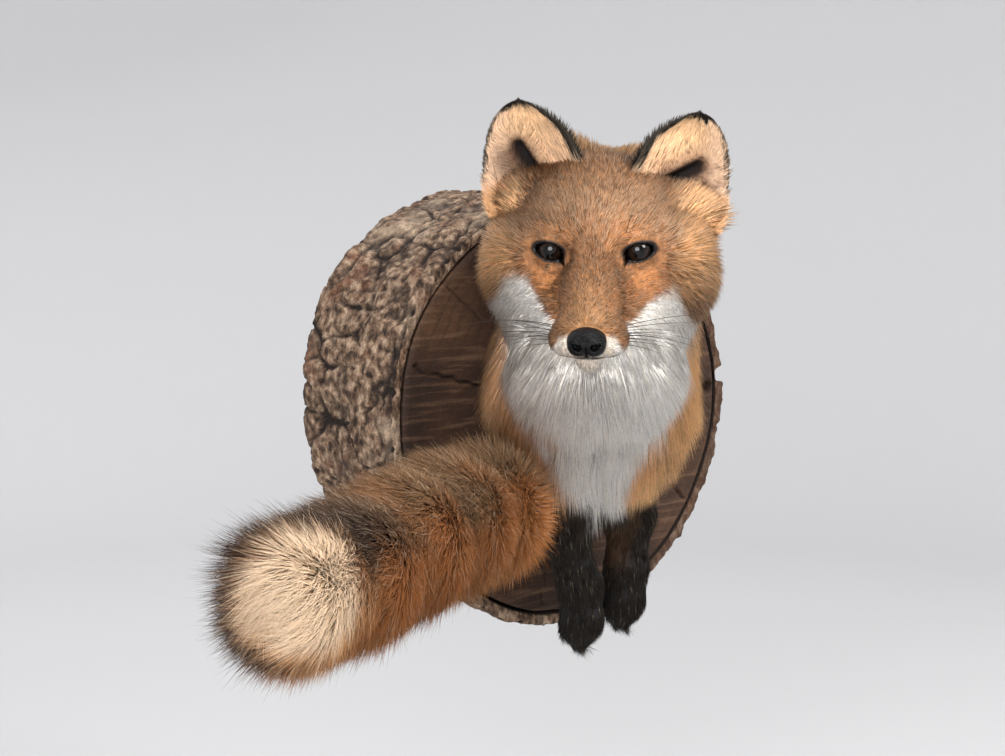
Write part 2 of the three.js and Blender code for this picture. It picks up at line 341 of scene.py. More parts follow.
def surface_net(field, axes, block=4):
    """The surface where field is 0, as vertices and four-sided faces, on a grid of uneven lines."""
    n = [len(a) for a in axes]
    marks = [np.unique(np.append(np.arange(0, m, block), m - 1)) for m in n]
    corner = np.stack(np.meshgrid(*[a[k] for a, k in zip(axes, marks)], indexing="ij"), -1)
    coarse = sample(field, corner.reshape(-1, 3)).reshape(corner.shape[:3])
    views = [tuple(slice(d, None if d else -1) for d in way) for way in np.ndindex(2, 2, 2)]
    least = np.min([np.abs(coarse[v]) for v in views], axis=0)
    span = np.linalg.norm(corner[1:, 1:, 1:] - corner[:-1, :-1, :-1], axis=-1)
    signs = np.sum([coarse[v] < 0 for v in views], axis=0)
    busy = (least < span) | ((signs > 0) & (signs < 8))
    home = [np.minimum(np.arange(m) // block, len(k) - 2) for m, k in zip(n, marks)]
    value = coarse[np.ix_(*home)]
    where = np.argwhere(busy[np.ix_(*home)])
    value[tuple(where.T)] = sample(field, np.stack([a[w] for a, w in zip(axes, where.T)], -1))
    inside = value < 0
    total = np.sum([inside[v] for v in views], axis=0)
    used = (total > 0) & (total < 8)
    cells = np.argwhere(used)
    index = np.full(used.shape, -1)
    index[used] = np.arange(len(cells))
    sums, count = np.zeros((len(cells), 3)), np.zeros(len(cells))
    for axis in range(3):
        step = np.eye(3, dtype=int)[axis]
        others = [np.eye(3, dtype=int)[a] for a in range(3) if a != axis]
        for i in (0, 1):
            for j in (0, 1):
                start = cells + others[0] * i + others[1] * j
                end = start + step
                v0, v1 = value[tuple(start.T)], value[tuple(end.T)]
                cut = (v0 < 0) != (v1 < 0)
                p0 = np.stack([a[w] for a, w in zip(axes, start.T)], -1)
                p1 = np.stack([a[w] for a, w in zip(axes, end.T)], -1)
                t = np.where(cut, v0 / np.where(cut, v0 - v1, 1), 0)
                sums += (p0 + (p1 - p0) * t[:, None]) * cut[:, None]
                count += cut
    verts = sums / count[:, None]
    faces = []
    for axis in range(3):
        lo, hi = [slice(None)] * 3, [slice(None)] * 3
        lo[axis], hi[axis] = slice(0, -1), slice(1, None)
        i = np.argwhere(inside[tuple(lo)] != inside[tuple(hi)])
        a, b = [(1, 2), (2, 0), (0, 1)][axis]
        i = i[(i[:, a] > 0) & (i[:, b] > 0) & (i[:, a] < n[a] - 1) & (i[:, b] < n[b] - 1)]
        da, db = np.eye(3, dtype=int)[a], np.eye(3, dtype=int)[b]
        quad = np.stack([index[tuple((i - o).T)] for o in (da + db, db, da * 0, da)], -1)
        flip = ~inside[tuple(i.T)]
        quad[flip] = quad[flip][:, ::-1]
        faces.append(quad)
    return verts, np.concatenate(faces)


# ---------- making Blender objects ----------


def new_object(name, verts, faces):
    """An object from points in mm and faces; faces is an array or a list of arrays."""
    mesh = bpy.data.meshes.new(name)
    groups = faces if isinstance(faces, list) else [faces]
    sizes = np.concatenate([np.full(len(g), g.shape[1]) for g in groups])
    loops = np.concatenate([g.ravel() for g in groups])
    mesh.vertices.add(len(verts))
    mesh.vertices.foreach_set("co", (np.asarray(verts) * MM).astype(np.float32).ravel())
    mesh.loops.add(len(loops))
    mesh.loops.foreach_set("vertex_index", loops.astype(np.int32))
    mesh.polygons.add(len(sizes))
    mesh.polygons.foreach_set("loop_start", np.concatenate([[0], np.cumsum(sizes)[:-1]]).astype(np.int32))
    mesh.update(calc_edges=True)
    mesh.validate()
    mesh.polygons.foreach_set("use_smooth", np.ones(len(sizes), bool))
    made = bpy.data.objects.new(name, mesh)
    bpy.context.collection.objects.link(made)
    return made


def set_colour(made, name, colour):
    layer = made.data.attributes.new(name, "FLOAT_COLOR", "POINT")
    full = np.ones((len(colour), 4), np.float32)
    full[:, :3] = colour
    layer.data.foreach_set("color", full.ravel())


def set_value(made, name, values):
    layer = made.data.attributes.new(name, "FLOAT", "POINT")
    layer.data.foreach_set("value", np.concatenate(values).astype(np.float32))


def hold(piece, slot, *nodes):
    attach(piece, "root")
    if nodes:
        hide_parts(*nodes)
    return piece


# ---------- colours ----------


def srgb(r, g, b):
    c = np.array([r, g, b], float) / 255
    return np.where(c <= 0.04045, c / 12.92, ((c + 0.055) / 1.055) ** 2.4)


WHITE = srgb(240, 235, 228)
CREAM = srgb(226, 204, 176)
TAN = srgb(166, 126, 90)
RUST = srgb(156, 106, 67)
ORANGE = srgb(188, 124, 72)
GOLD = srgb(206, 158, 108)
UMBER = srgb(104, 68, 42)
DUSKY = srgb(128, 90, 64)
BLACK_BROWN = srgb(15, 10, 8)
SOOT = srgb(13, 9, 8)

# ---------- where things are on the animal ----------
TAIL_END = TAIL[-1, :3]
TAIL_TANGENT = unit(TAIL_END - TAIL[-2, :3])
NECK_AXIS = (-18, -150)
BIB_TURN = -33  # the bib's middle, in degrees round the neck
CREAM_AXIS = unit(arr(-0.31, -0.94, 0.32))  # the way the brush's pale end faces


def tail_place(p):
    """Station along the brush (0 to 6), and the way out from its axis."""
    best = np.full(p.shape[:-1], 1e9)
    station, out = np.zeros(p.shape[:-1]), np.zeros(p.shape)
    for i, (a, b) in enumerate(zip(TAIL[:-1], TAIL[1:])):
        t = along(p, a[:3], b[:3])
        axis = a[:3] + (b[:3] - a[:3]) * t[..., None]
        d = np.linalg.norm(p - axis, axis=-1)
        near = d < best
        best = np.where(near, d, best)
        station = np.where(near, i + t, station)
        out = np.where(near[..., None], p - axis, out)
    return station, unit(out)


def neck_turn(p):
    """Degrees round the neck's upright axis, 0 at the front and more towards the left."""
    return np.degrees(np.arctan2(p[..., 0] - NECK_AXIS[0], -(p[..., 1] - NECK_AXIS[1])))


def tail_axis(station):
    i = np.clip(station.astype(int), 0, 5)
    ways = unit(TAIL[1:, :3] - TAIL[:-1, :3])
    after = ways[np.minimum(i + 1, 5)]
    return unit(ways[i] + (after - ways[i]) * (station - i)[..., None])


# ---------- markings, as functions of place ----------


# where the white of the face begins: distance from the middle, and height
WHITE_EDGE = ([0, 14, 20, 25, 31, 40, 50, 57, 63, 72], [-40, -40, -42, -38, -28, -20, -19, -27, -38, -52])
# half the bib's width in degrees round the neck: height, and width
BIB_EDGE = ([-62, -44, -20, 8, 30, 60], [60, 32, 36, 44, 54, 68])


def head_colour(h):
    """Base colour, and how far the tips go pale and how far they go dark."""
    x, y, z = np.abs(h[..., 0]), h[..., 1], h[..., 2]
    wob = (rough(h, 9, 2, 3) - 0.5) * 7
    base = np.broadcast_to(RUST, h.shape)
    base = mix(base, TAN, 0.35 * ramp(z, 10, 34) * ramp(y, 30, -10))
    base = mix(base, GOLD, 0.3 * ramp(y, -50, -72) * ramp(z, -44, -24))
    base = mix(base, srgb(168, 122, 80), 0.6 * ramp(y, -20, -50) * ramp(x, 15, 6))
    base = mix(base, srgb(134, 84, 38), 0.85 * ramp(y, 14, 40) * ramp(z, 12, 34))
    base = mix(base, srgb(186, 138, 84), 0.7 * ramp(y, 44, 58) * ramp(z, 20, 40))
    shadow = ramp(h[..., 0], 14, 4) * ramp(x, 12, 18) * ramp(y, -16, -30) * ramp(z, -8, -20)
    base = mix(base, DUSKY, 0.35 * shadow)
    under = np.hypot((x - 30) / 17, (z + 17) / 10)
    base = mix(base, ORANGE, 0.75 * ramp(under, 1.3, 0.3) * ramp(y, 25, 5))
    above = np.hypot((x - 21) / 12, (z - 13) / 8)
    base = mix(base, ORANGE, 0.6 * ramp(above, 1.3, 0.3) * ramp(y, 20, 0))
    base = mix(base, srgb(238, 184, 126), 0.8 * ramp(x, 44, 60) * ramp(z, -44, -16))
    base = mix(base, UMBER, 0.2 * ramp(rough(h, 22, 2, 8), 0.5, 0.75) * ramp(y, 5, 40))
    base = base * (1 + 0.7 * (noise(h * arr(1, 0.6, 1), 2.2, 91) - 0.5))[..., None]
    # white of the lips, cheeks and jaw
    edge = np.interp(x, *WHITE_EDGE)
    edge = edge + np.where(h[..., 0] < 0, 6 * ramp(x, 28, 42), -3 * ramp(x, 28, 42) - 14 * ramp(x, 46, 58))
    edge = edge + 8 * ramp(y, -47, -60) * ramp(x, 22, 16)
    below = (edge - z + wob * ramp(x, 16, 40)) / (1 + 1.6 * ramp(x, 32, 52))
    white = ramp(below, -2.5, 3.5) * (1 - 0.5 * ramp(y, 40, 75))
    pale = 0.32 + 0.36 * ramp(y, -24, 4) * ramp(z, -2, 18) * ramp(z, 48, 30)
    base = mix(base, WHITE, white)
    pad = ramp(x, 20, 12) * ramp(y, -48, -62) * white
    base = mix(base, CREAM, 0.5 * pad)
    line = ramp(np.abs(z - mouth_line(h)), 2.8, 1.4) * ramp(y, -44, -52) * ramp(x, 20, 16)
    base = mix(base, SOOT, 0.92 * line)
    white = white * (1 - line)
    # tear line and rims
    tear = np.hypot((x - 14 - 0.42 * (-z - 6)) / 2.2, np.maximum(np.abs(z + 12) - 5, 0) / 2.5)
    base = mix(base, UMBER, 0.45 * ramp(tear, 1.3, 0.2) * ramp(y, 0, -12))
    corner = np.hypot(np.maximum(np.abs(x - 41) - 6, 0) / 2.5, (z - 2 + 0.35 * (x - 35)) / 1.8)
    base = mix(base, UMBER, 0.6 * ramp(corner, 1.2, 0.3) * ramp(y, 34, 20))
    dark = 0.17 * (1 - white) + 0.22 * ramp(rough(h, 14, 2, 9), 0.45, 0.8) * (1 - white)
    return base, pale * (1 - white), dark


def neck_colour(p):
    turn = neck_turn(p)
    streak = (noise(p * arr(1, 1, 0.25), 7, 5) - 0.5) * 26 + (rough(p, 30, 2, 6) - 0.5) * 26
    half = np.interp(p[..., 2], *BIB_EDGE)
    half = half - 12 * ramp(turn, BIB_TURN, 20) - 4 * ramp(-turn, -BIB_TURN, 60)
    white = ramp(half - np.abs(turn - BIB_TURN) + streak, -7, 10)
    # the sides grow lighter and more orange towards the fox's left: partly their own colour, partly painted light on
    # the side the key light falls on
    side = mix(srgb(226, 172, 122), srgb(244, 190, 128), ramp(turn, -20, 30))
    side = mix(side, UMBER, 0.7 * ramp(turn, -96, -150) + 0.5 * ramp(turn, 90, 140))
    side = mix(side, UMBER, 0.4 * ramp(rough(p * arr(1, 1, 0.3), 12, 2, 12), 0.5, 0.8))
    base = mix(side, WHITE, white)
    hem = -47 - 11 * np.exp(-((p[..., 0] + 29) / 7) ** 2) + 5 * (noise(p * arr(1, 1, 0.2), 4, 94) - 0.5)
    cuff = ramp(hem - p[..., 2], -1, 4) * ramp(p[..., 1], -104, -124)
    base = mix(base, srgb(30, 20, 15), cuff)
    dark = 0.22 * ramp(rough(p * arr(1, 1, 0.4), 16, 2, 14), 0.4, 0.75) * (1 - 0.7 * white)
    return base, 0.25 * (1 - cuff), dark


def tail_colour(p):
    station, out = tail_place(p)
    up = out[..., 2]
    front = -out[..., 1] * 0.86 + out[..., 0] * 0.5
    blot = (rough(p, 26, 2, 21) - 0.5)
    base = mix(srgb(136, 80, 34), srgb(116, 84, 54), ramp(up + blot, 0.35, 0.85))
    base = mix(base, srgb(172, 112, 60), 0.6 * ramp(station, 3.6, 1.6) * ramp(up + blot, 0.6, 0.1))
    base = mix(base, srgb(160, 112, 68), 0.5 * ramp(-up + blot * 0.6, 0.5, 1.0))
    # painted shade: the brush is darker on the side turned away from the key light, towards the wall
    base = mix(base, srgb(96, 66, 42), 0.7 * ramp(-front, 0.0, 0.7))
    tip = unit(p - TAIL_END)
    beyond = ramp(station, 5.0, 6.0)
    angle = np.degrees(np.arccos(np.clip(tip @ CREAM_AXIS, -1, 1))) + (rough(p, 10, 2, 24) - 0.5) * 16
    cream = ramp(angle, 62, 43) * ramp(station, 4.1, 4.9)
    base = mix(base, GOLD, 0.55 * ramp(angle, 92, 60) * ramp(station, 4.0, 5.0) * ramp(-up, -0.6, 0.2))
    dark = ramp(station, 4.4, 5.6) * ramp(angle, 58, 74) * ramp(up * 0.8 + tip @ TAIL_TANGENT * 0.9, -0.55, 0.05)
    base = mix(base, srgb(58, 42, 35), 0.9 * dark)
    base = mix(base, srgb(208, 184, 156), cream)
    tips = 0.3 * ramp(up + blot, 0, 0.8) * (1 - cream) + 0.5 * dark * beyond
    return base, 0.07 + 0.3 * cream, np.clip(tips, 0, 0.9)


def leg_colour(p):
    inner = ramp(np.abs(p[..., 0] - 10), 15, 6) * ramp(p[..., 2], -122, -92)
    base = mix(BLACK_BROWN, srgb(84, 56, 34), 0.7 * inner)
    return base, 0.02 + 0 * inner, 0.3 + 0 * inner


def markings(p, h, share):
    """share holds how much each place is neck, leg and tail, the rest head."""
    neck, leg, tail = share
    result = head_colour(h)
    for weight, part in ((neck, neck_colour(p)), (leg, leg_colour(p)), (tail, tail_colour(p))):
        result = [mix(a, b, weight) if np.ndim(a) > 1 else a + (b - a) * weight for a, b in zip(result, part)]
    return result


def body_share(p, h):
    head, neck = head_mass(h), neck_mass(p)
    body = fillet(34, head, neck) + NECK_DEPTH
    leg = np.min([leg_mass(p, s) for s in LEGS], axis=0) + LEG_DEPTH
    tail = tail_mass(p, TAIL_DEPTH)
    return (neck_share(head, neck), ramp(body - leg, -4, 6), ramp(np.minimum(body, leg) - tail, -6, 8))


# ---------- how the coat lies ----------


def lie_of_head(h):
    x, y, z = h[..., 0], h[..., 1], h[..., 2]
    way = unit(h - arr(0, -92, -22))
    side = np.sign(x) * ramp(np.abs(x), 20, 44) * ramp(z, 6, -14)
    way = way + np.stack([side * 0.4, np.abs(side) * -0.1, -np.abs(side) * 1.0], -1)
    jaw = ramp(z, -34, -50) * ramp(y, -60, -44)
    way = way + np.stack([0 * x, -0.2 * jaw, -2.2 * jaw], -1)
    brow = ramp(z, 8, 26) * ramp(y, 40, 0)
    return unit(way + np.stack([0.004 * x * brow, 0 * x, 0.35 * brow], -1))


def lie_of_neck(p):
    out = unit((p - arr(*NECK_AXIS, 0)) * arr(1, 1, 0))
    low = ramp(p[..., 2], 10, -60)
    left = ramp(-out[..., 0], 0.55, 0.95) * ramp(p[..., 2], -40, -10)
    middle = arr(-4, -150, 0) - p
    middle[..., 2] = 0
    spread = 0.16 * (1 - low) + 0.35 * left
    return unit(arr(0, 0, -1) + out * spread[..., None] + middle * 0.006 * low[..., None])


def scatter(verts, faces, count, weight=None, cell=6.0):
    """count evenly spread places on a mesh: points and outward directions."""
    tri = np.concatenate([faces[:, [0, 1, 2]], faces[:, [0, 2, 3]]]) if faces.shape[1] == 4 else faces
    a, b, c = (verts[tri[:, k]] for k in range(3))
    cross = np.cross(b - a, c - a)
    flat = np.zeros_like(verts)
    for k in range(3):
        np.add.at(flat, tri[:, k], cross)
    normal = unit(flat)
    centre = (a + b + c) / 3
    area = np.linalg.norm(cross, axis=1) / 2
    if weight is not None:
        area = area * weight(centre)
    key = np.zeros(len(tri), np.int64)
    whole = ((centre - centre.min(0)) / cell).astype(np.int64)
    for bit in range(8):
        for k in range(3):
            key |= ((whole[:, k] >> bit) & 1) << (3 * bit + k)
    order = np.argsort(key, kind="stable")
    total = np.cumsum(area[order])
    at = (np.arange(count) + RNG.random(count)) / count * total[-1]
    pick = order[np.minimum(np.searchsorted(total, at), len(order) - 1)]
    u, v = RNG.random(count), RNG.random(count)
    over = u + v > 1
    u, v = np.where(over, 1 - u, u), np.where(over, 1 - v, v)
    w = np.stack([1 - u - v, u, v], 1)
    place = (verts[tri[pick]] * w[:, :, None]).sum(1)
    return place, unit((normal[tri[pick]] * w[:, :, None]).sum(1))


def tangent(way, normal):
    return unit(way - normal * (way * normal).sum(-1, keepdims=True))


# A tuft is a thin three-sided spike. Its vertices as (along, across, up), and its triangles.
TUFT_POINTS = [(0, 0, 0.33), (0, -0.43, -0.17), (0, 0.43, -0.17), (1, 0, 0)]
TUFT_FACES = np.array([(0, 1, 3), (1, 2, 3), (2, 0, 3), (2, 1, 0)])


def grow(name, slot, root, normal, way, length, width, lift, shades, place, droop=0.1, clump=0.4, cell=7,
         sink=0.5, stray=0.07, swing=0.5):
    """Many thin closed tufts joined as one mesh. shades are (root, middle, tip) colours, and place is each root's
    spot from 0 to 1 on the unwrap of the skin."""
    n = len(root)
    way = tangent(way, normal)
    across = np.cross(normal, way)
    turn = (noise(root, 17, 31) - 0.5) * swing + RNG.normal(0, stray, n)
    way = way * np.cos(turn)[:, None] + across * np.sin(turn)[:, None]
    tilt = lift * (0.8 + 0.4 * RNG.random(n))
    way = unit(way * np.cos(tilt)[:, None] + normal * np.sin(tilt)[:, None])
    length = length * (0.75 + 0.45 * RNG.random(n))
    width = width * (0.75 + 0.5 * RNG.random(n))
    lock = np.floor((root + (RNG.random((n, 3)) - 0.5) * cell * 0.3) / cell)
    jitter = np.stack([noise(lock * 5.3, 1.0, 41 + k) for k in range(3)], -1)
    gather = (lock + 0.2 + 0.6 * jitter) * cell - root
    gather -= way * (gather * way).sum(-1, keepdims=True)
    reach = np.linalg.norm(gather, axis=-1, keepdims=True)
    gather = gather * np.minimum(1, 0.35 * length[:, None] / np.maximum(reach, 1e-6)) * clump
    bend = gather + arr(0, 0, -1) * (droop * length)[:, None] - normal * (0.3 * np.sin(tilt) * length)[:, None]
    side = unit(np.cross(way, normal))
    lid = np.cross(side, way)
    start = root - normal * sink
    verts, tone, grain = [], [], []
    for s, u, v in TUFT_POINTS:
        centre = start + way * (length * s)[:, None] + bend * s * s
        verts.append(centre + (side * u + lid * v) * width[:, None])
        tone.append(mix(shades[0], shades[1], 0.5) if s == 0 else shades[2])
        grain.append(np.broadcast_to((s, u + 0.5), (n, 2)))
    verts, tone, grain = (np.stack(part, 1) for part in (verts, tone, grain))
    all_faces = (TUFT_FACES[None] + np.arange(n)[:, None, None] * len(TUFT_POINTS)).reshape(-1, 3)
    made = new_object(name, verts.reshape(-1, 3), all_faces)
    set_colour(made, "coat", tone.reshape(-1, 3))
    uv = (0.002 + 0.992 * np.clip(place, 0, 1))[:, None] + grain * 0.003
    layer = made.data.uv_layers.new(name="OFBake")
    layer.data.foreach_set("uv", uv.reshape(-1, 2)[all_faces.ravel()].astype(np.float32).ravel())
    made.data.materials.append(coat_material)
    return hold(made, slot)


def shades_of(base, pale, dark, root_shade=0.75, spread=0.2):
    """Root, middle and tip colours of each tuft, with its own small change of tone."""
    n = len(base)
    tone = (1 - spread + 2 * spread * RNG.random(n))[:, None]
    warm = 1 + (RNG.random(n)[:, None] - 0.5) * arr(0.05, 0.0, -0.16)
    middle = base * tone * warm
    choice = RNG.random(n)
    light = np.where(choice < pale, 0.55, 0.06)[:, None]
    tip = middle * 1.15 + (np.maximum(CREAM, middle * 1.2) - middle * 1.15) * light
    black = (choice > 1 - dark)[:, None]
    root_shade = root_shade + 0.2 * base[:, 1:2]
    return base * root_shade * tone, np.where(black, middle * 0.6, middle), np.where(black, SOOT + middle * 0.2, tip)

# ---------- materials ----------


class Surface:
    """A material while it is being made, with the few kinds of node that all of them share."""

    def __init__(self, name, roughness=0.6, specular=0.5):
        self.made = bpy.data.materials.new(name)
        self.made.use_nodes = True
        self.nodes, self.links = self.made.node_tree.nodes, self.made.node_tree.links
        self.shader = self.nodes["Principled BSDF"]
        self.shader.inputs["Roughness"].default_value = roughness
        self.shader.inputs["Specular IOR Level"].default_value = specular
        self.relief = None

    def node(self, kind, **inputs):
        made = self.nodes.new(kind)
        for socket, value in inputs.items():
            made.inputs[socket.replace("_", " ")].default_value = value
        return made

    def attribute(self, name, output="Fac"):
        made = self.nodes.new("ShaderNodeAttribute")
        made.attribute_name = name
        return made.outputs[output]

    def place(self, **inputs):
        """Object coordinates, moved or stretched."""
        shape = self.node("ShaderNodeMapping", **inputs)
        self.links.new(self.nodes.new("ShaderNodeTexCoord").outputs["Object"], shape.inputs["Vector"])
        return shape.outputs[0]

    def noise(self, scale, detail=4, stretch=(1, 1, 1)):
        made = self.node("ShaderNodeTexNoise", Scale=scale, Detail=detail)
        self.links.new(self.place(Scale=stretch), made.inputs["Vector"])
        return made.outputs[0]

    def spread(self, value, from_low, from_high, low=0.0, high=1.0):
        made = self.node("ShaderNodeMapRange", From_Min=from_low, From_Max=from_high, To_Min=low, To_Max=high)
        self.links.new(value, made.inputs["Value"])
        return made.outputs[0]

    def times(self, colour, amount, low, high):
        """colour times a number between low and high, as amount goes through its usual range."""
        made = self.nodes.new("ShaderNodeVectorMath")
        made.operation = "SCALE"
        self.links.new(colour, made.inputs[0])
        self.links.new(self.spread(amount, 0.3, 0.7, low, high), made.inputs["Scale"])
        return made.outputs[0]

    def steps(self, value, stops):
        """Colours along a value, given as (position, colour)."""
        made = self.nodes.new("ShaderNodeValToRGB")
        elements = made.color_ramp.elements
        for element, (position, colour) in zip(elements, (stops[0], stops[-1])):
            element.position, element.color = position, (*colour, 1)
        for position, colour in stops[1:-1]:
            elements.new(position).color = (*colour, 1)
        self.links.new(value, made.inputs["Fac"])
        return made.outputs["Color"]

    def mix(self, base, colour, amount):
        made = self.nodes.new("ShaderNodeMix")
        made.data_type = "RGBA"
        self.links.new(amount, made.inputs["Factor"])
        self.links.new(base, made.inputs[6])
        made.inputs[7].default_value = (*colour, 1)
        return made.outputs[2]

    def bump(self, height, distance, strength):
        """One bump on top of those before it."""
        made = self.node("ShaderNodeBump", Distance=distance, Strength=strength)
        self.links.new(height, made.inputs["Height"])
        if self.relief:
            self.links.new(self.relief, made.inputs["Normal"])
        self.relief = made.outputs[0]
        self.links.new(self.relief, self.shader.inputs["Normal"])

    def coloured(self, colour):
        self.links.new(colour, self.shader.inputs["Base Color"])
        return self.made


def make_coat():
    coat = Surface("fox_coat", 0.58, 0.12)
    return coat.coloured(coat.times(coat.attribute("coat", "Color"), coat.noise(900, 2), 0.86, 1.12))


def make_skin():
    skin = Surface("fox_skin", 0.7, 0.25)
    hair = skin.noise(700, 3, (1, 1, 0.35))
    skin.links.new(skin.spread(skin.attribute("bare"), 0, 1, 0.75, 0.32), skin.shader.inputs["Roughness"])
    skin.bump(hair, 0.0009, 0.8)
    return skin.coloured(skin.times(skin.attribute("coat", "Color"), hair, 0.72, 1.15))


def make_nose():
    nose = Surface("fox_nose", 0.26, 0.13)
    cells = nose.node("ShaderNodeTexVoronoi", Scale=1500)
    nose.links.new(nose.place(), cells.inputs["Vector"])
    nose.bump(cells.outputs["Distance"], 0.0005, 0.7)
    black = nose.nodes.new("ShaderNodeRGB")
    black.outputs[0].default_value = (*srgb(6, 6, 7), 1)
    return nose.coloured(nose.times(black.outputs[0], nose.noise(260, 3), 0.6, 1.3))


def make_eye():
    eye = Surface("glass_eye", 0.05, 0.3)
    return eye.coloured(eye.times(eye.attribute("coat", "Color"), eye.noise(1200, 3), 0.6, 1.4))


def make_whisker():
    whisker = Surface("whisker", 0.4)
    return whisker.coloured(whisker.attribute("coat", "Color"))


coat_material = make_coat()
skin_material = make_skin()

# ---------- ears ----------


def conch_distance(side, u, t):
    """Below 1 in the dark slot of an ear, which slants down towards the crown."""
    high, low = (arr(*end) for end in EARS[side]["slot"])
    place = np.stack([u * EAR["width"] / 2, t * EAR["height"]], -1)
    on = along(place, high, low)
    return np.linalg.norm(place - high - on[..., None] * (low - high), axis=-1) / EAR["slot"]


def ear_point(side, u, v, w, thin=0.0):
    """A place on an ear: u across, v from base (-1) to tip (1), w through it, 1 on the side that faces forwards."""
    t = (v + 1) / 2
    half = (EAR["width"] / 2 - thin) * np.maximum(1 - np.abs(t) ** 2.1, 0.004) ** 0.57 * (1 + 0.12 * t)
    inner = 1 if side == "right" else -1
    half = half * (1 + 0.3 * np.maximum(u * inner, 0) * (1 - ramp(t, 0.55, 0.98)))
    cup = EAR["cup"] * (1 - 0.6 * t) * (1 - u * u) + 5 * (1 - u * u) ** 2 * ramp(t, 0.75, 0.15)
    cup = cup + 7 * ramp(conch_distance(side, u, t), 1.7, 0.2)
    thick = (EAR["thick"] - 2 * thin) * (1 - 0.45 * t)
    fold = 5.5 * ramp(u * inner, 0.2, 0.75) * ramp(t, 0.1, 0.35) * ramp(t, 0.8, 0.5)
    p = np.stack([u * half, cup - w * thick / 2 - fold, t * (EAR["height"] - thin) - EAR["buried"]], -1)
    lean, turn = math.radians(EARS[side]["lean"]), math.radians(EARS[side]["turn"])
    turned = Matrix.Rotation(turn, 3, "Z") @ Matrix.Rotation(lean, 3, "Y") @ Matrix.Rotation(math.radians(-4), 3, "X")
    return from_head(p @ np.array(turned).T + arr(*EARS[side]["root"]))


def ear_shell(side, across=40, up=44):
    """A thin closed warped plate."""
    u = np.sin(np.linspace(-1, 1, across + 1) * math.pi / 2)
    v = 1 - 2 * (1 - np.linspace(0, 1, up + 1)) ** 1.7
    uu, vv = np.meshgrid(u, v)
    sheets = [ear_point(side, uu, vv, np.full_like(uu, w), 1.4) for w in (1.0, -1.0)]
    verts = np.concatenate([s.reshape(-1, 3) for s in sheets])
    row, n = across + 1, (across + 1) * (up + 1)
    faces = []
    for j in range(up):
        for i in range(across):
            a = j * row + i
            faces.append((a, a + 1, a + row + 1, a + row))
            faces.append((n + a, n + a + row, n + a + row + 1, n + a + 1))
    edges = [(j * row + i, 1, j > 0) for i in range(across) for j in (0, up)]
    edges += [(j * row + i, row, i == 0) for j in range(up) for i in (0, across)]
    for a, step, turned in edges:
        quad = (a, n + a, n + a + step, a + step)
        faces.append(quad[::-1] if turned else quad)
    tu, tv = np.tile(uu.ravel(), 2), np.tile(vv.ravel(), 2)
    return verts, np.array(faces), tu, tv, np.repeat([1.0, -1.0], n)


def ear_colour(side, u, v, w):
    """Skin and coat colour on an ear, with painted shade in its hollow and opening."""
    t = (v + 1) / 2
    inner = u * (1 if side == "right" else -1)
    p = np.stack([u * 28, v * 36, w * 0], -1)
    wob = (rough(p, 9, 2, 51) - 0.5)
    back = mix(SOOT * 1.4, srgb(150, 92, 48), ramp(t + wob * 0.25, 0.42, 0.16))
    front = mix(srgb(214, 174, 138), srgb(228, 188, 144), ramp(t, 0.3, 0.8))
    front = mix(front, srgb(222, 190, 164), 0.6 * ramp(-inner, 0.2, 0.8))
    front = mix(front, srgb(196, 142, 86), 0.8 * ramp(t + wob * 0.3, 0.36, 0.14))
    conch = conch_distance(side, u, t)
    # painted shade in the ear's hollow: darker around the opening, a shaded patch in the cup, near black in the
    # opening itself
    front = mix(front, srgb(150, 112, 88), 0.7 * ramp(conch + wob, 3.2, 1.6))
    cup_shade = np.hypot((-inner - 0.42) / 0.42, (t - (0.46 if side == "right" else 0.34)) / 0.24)
    front = mix(front, srgb(112, 82, 62), 0.85 * ramp(cup_shade + wob * 0.7, 1.25, 0.35))
    front = mix(front, srgb(58, 42, 34), ramp(conch + wob * 0.4, 1.7, 1.1))
    front = mix(front, srgb(26, 18, 14), ramp(conch + wob * 0.7, 1.25, 0.7))
    edge = np.maximum(np.abs(u) + 0.07 * ramp(inner, 0, 0.5), t + 0.04) + wob * 0.07
    front = mix(front, SOOT, ramp(edge, 0.93, 0.98) * ramp(t, 0.22, 0.42))
    return np.where((w > 0)[:, None], front, back), conch


# ---------- the skin, ears and all ----------
axes = [spaced(-345, 104, 3.6, [(-124, -24, 1.5), (-104, -34, 0.85)]),
        spaced(-330, -96, 3.6, [(-290, -190, 1.5), (-250, -178, 0.85)]),
        spaced(-176, 178, 3.6, [(30, 92, 1.5), (92, 120, 0.85)])]
body_verts, body_faces = surface_net(skin_field, axes)
body_head = to_head(body_verts)
base, pale, dark = markings(body_verts, body_head, body_share(body_verts, body_head))
eye_place = eye_local(body_head)
near_eye = ramp(eyeball_distance(body_head), 5.5, 2.5) * ramp(eye_place[..., 2], 0, 3)
rim = ramp(lid_opening(eye_place), 2.6, 0.9) * near_eye
groove = ramp(np.abs(body_head[..., 2] - mouth_line(body_head)), 1.7, 0.7) * ramp(body_head[..., 1], -16, -24)
groove = groove * ramp(body_head[..., 1], -85, -80)
skin_colour = mix(base * 0.68, SOOT * 0.6, np.maximum(rim, groove * 0.9))
bare = np.maximum(rim, groove)
shells = {side: ear_shell(side) for side in EARS}
skin_verts, skin_faces, tints, bares = [body_verts], [body_faces], [skin_colour], [bare]
for side, (v, f, tu, tv, tw) in shells.items():
    skin_faces.append(f + sum(len(x) for x in skin_verts))
    skin_verts.append(v)
    tints.append(ear_colour(side, tu, tv, tw)[0] * 0.7)
    bares.append(np.zeros(len(v)))
skin = new_object("skin", np.concatenate(skin_verts), skin_faces)
set_colour(skin, "coat", np.concatenate(tints))
set_value(skin, "bare", bares)
skin.data.materials.append(skin_material)
FLESH = [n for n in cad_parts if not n.startswith(("eye_", "log_")) and n != "nose"]
hold(skin, "coat_rust", *FLESH)

# ---------- coat ----------


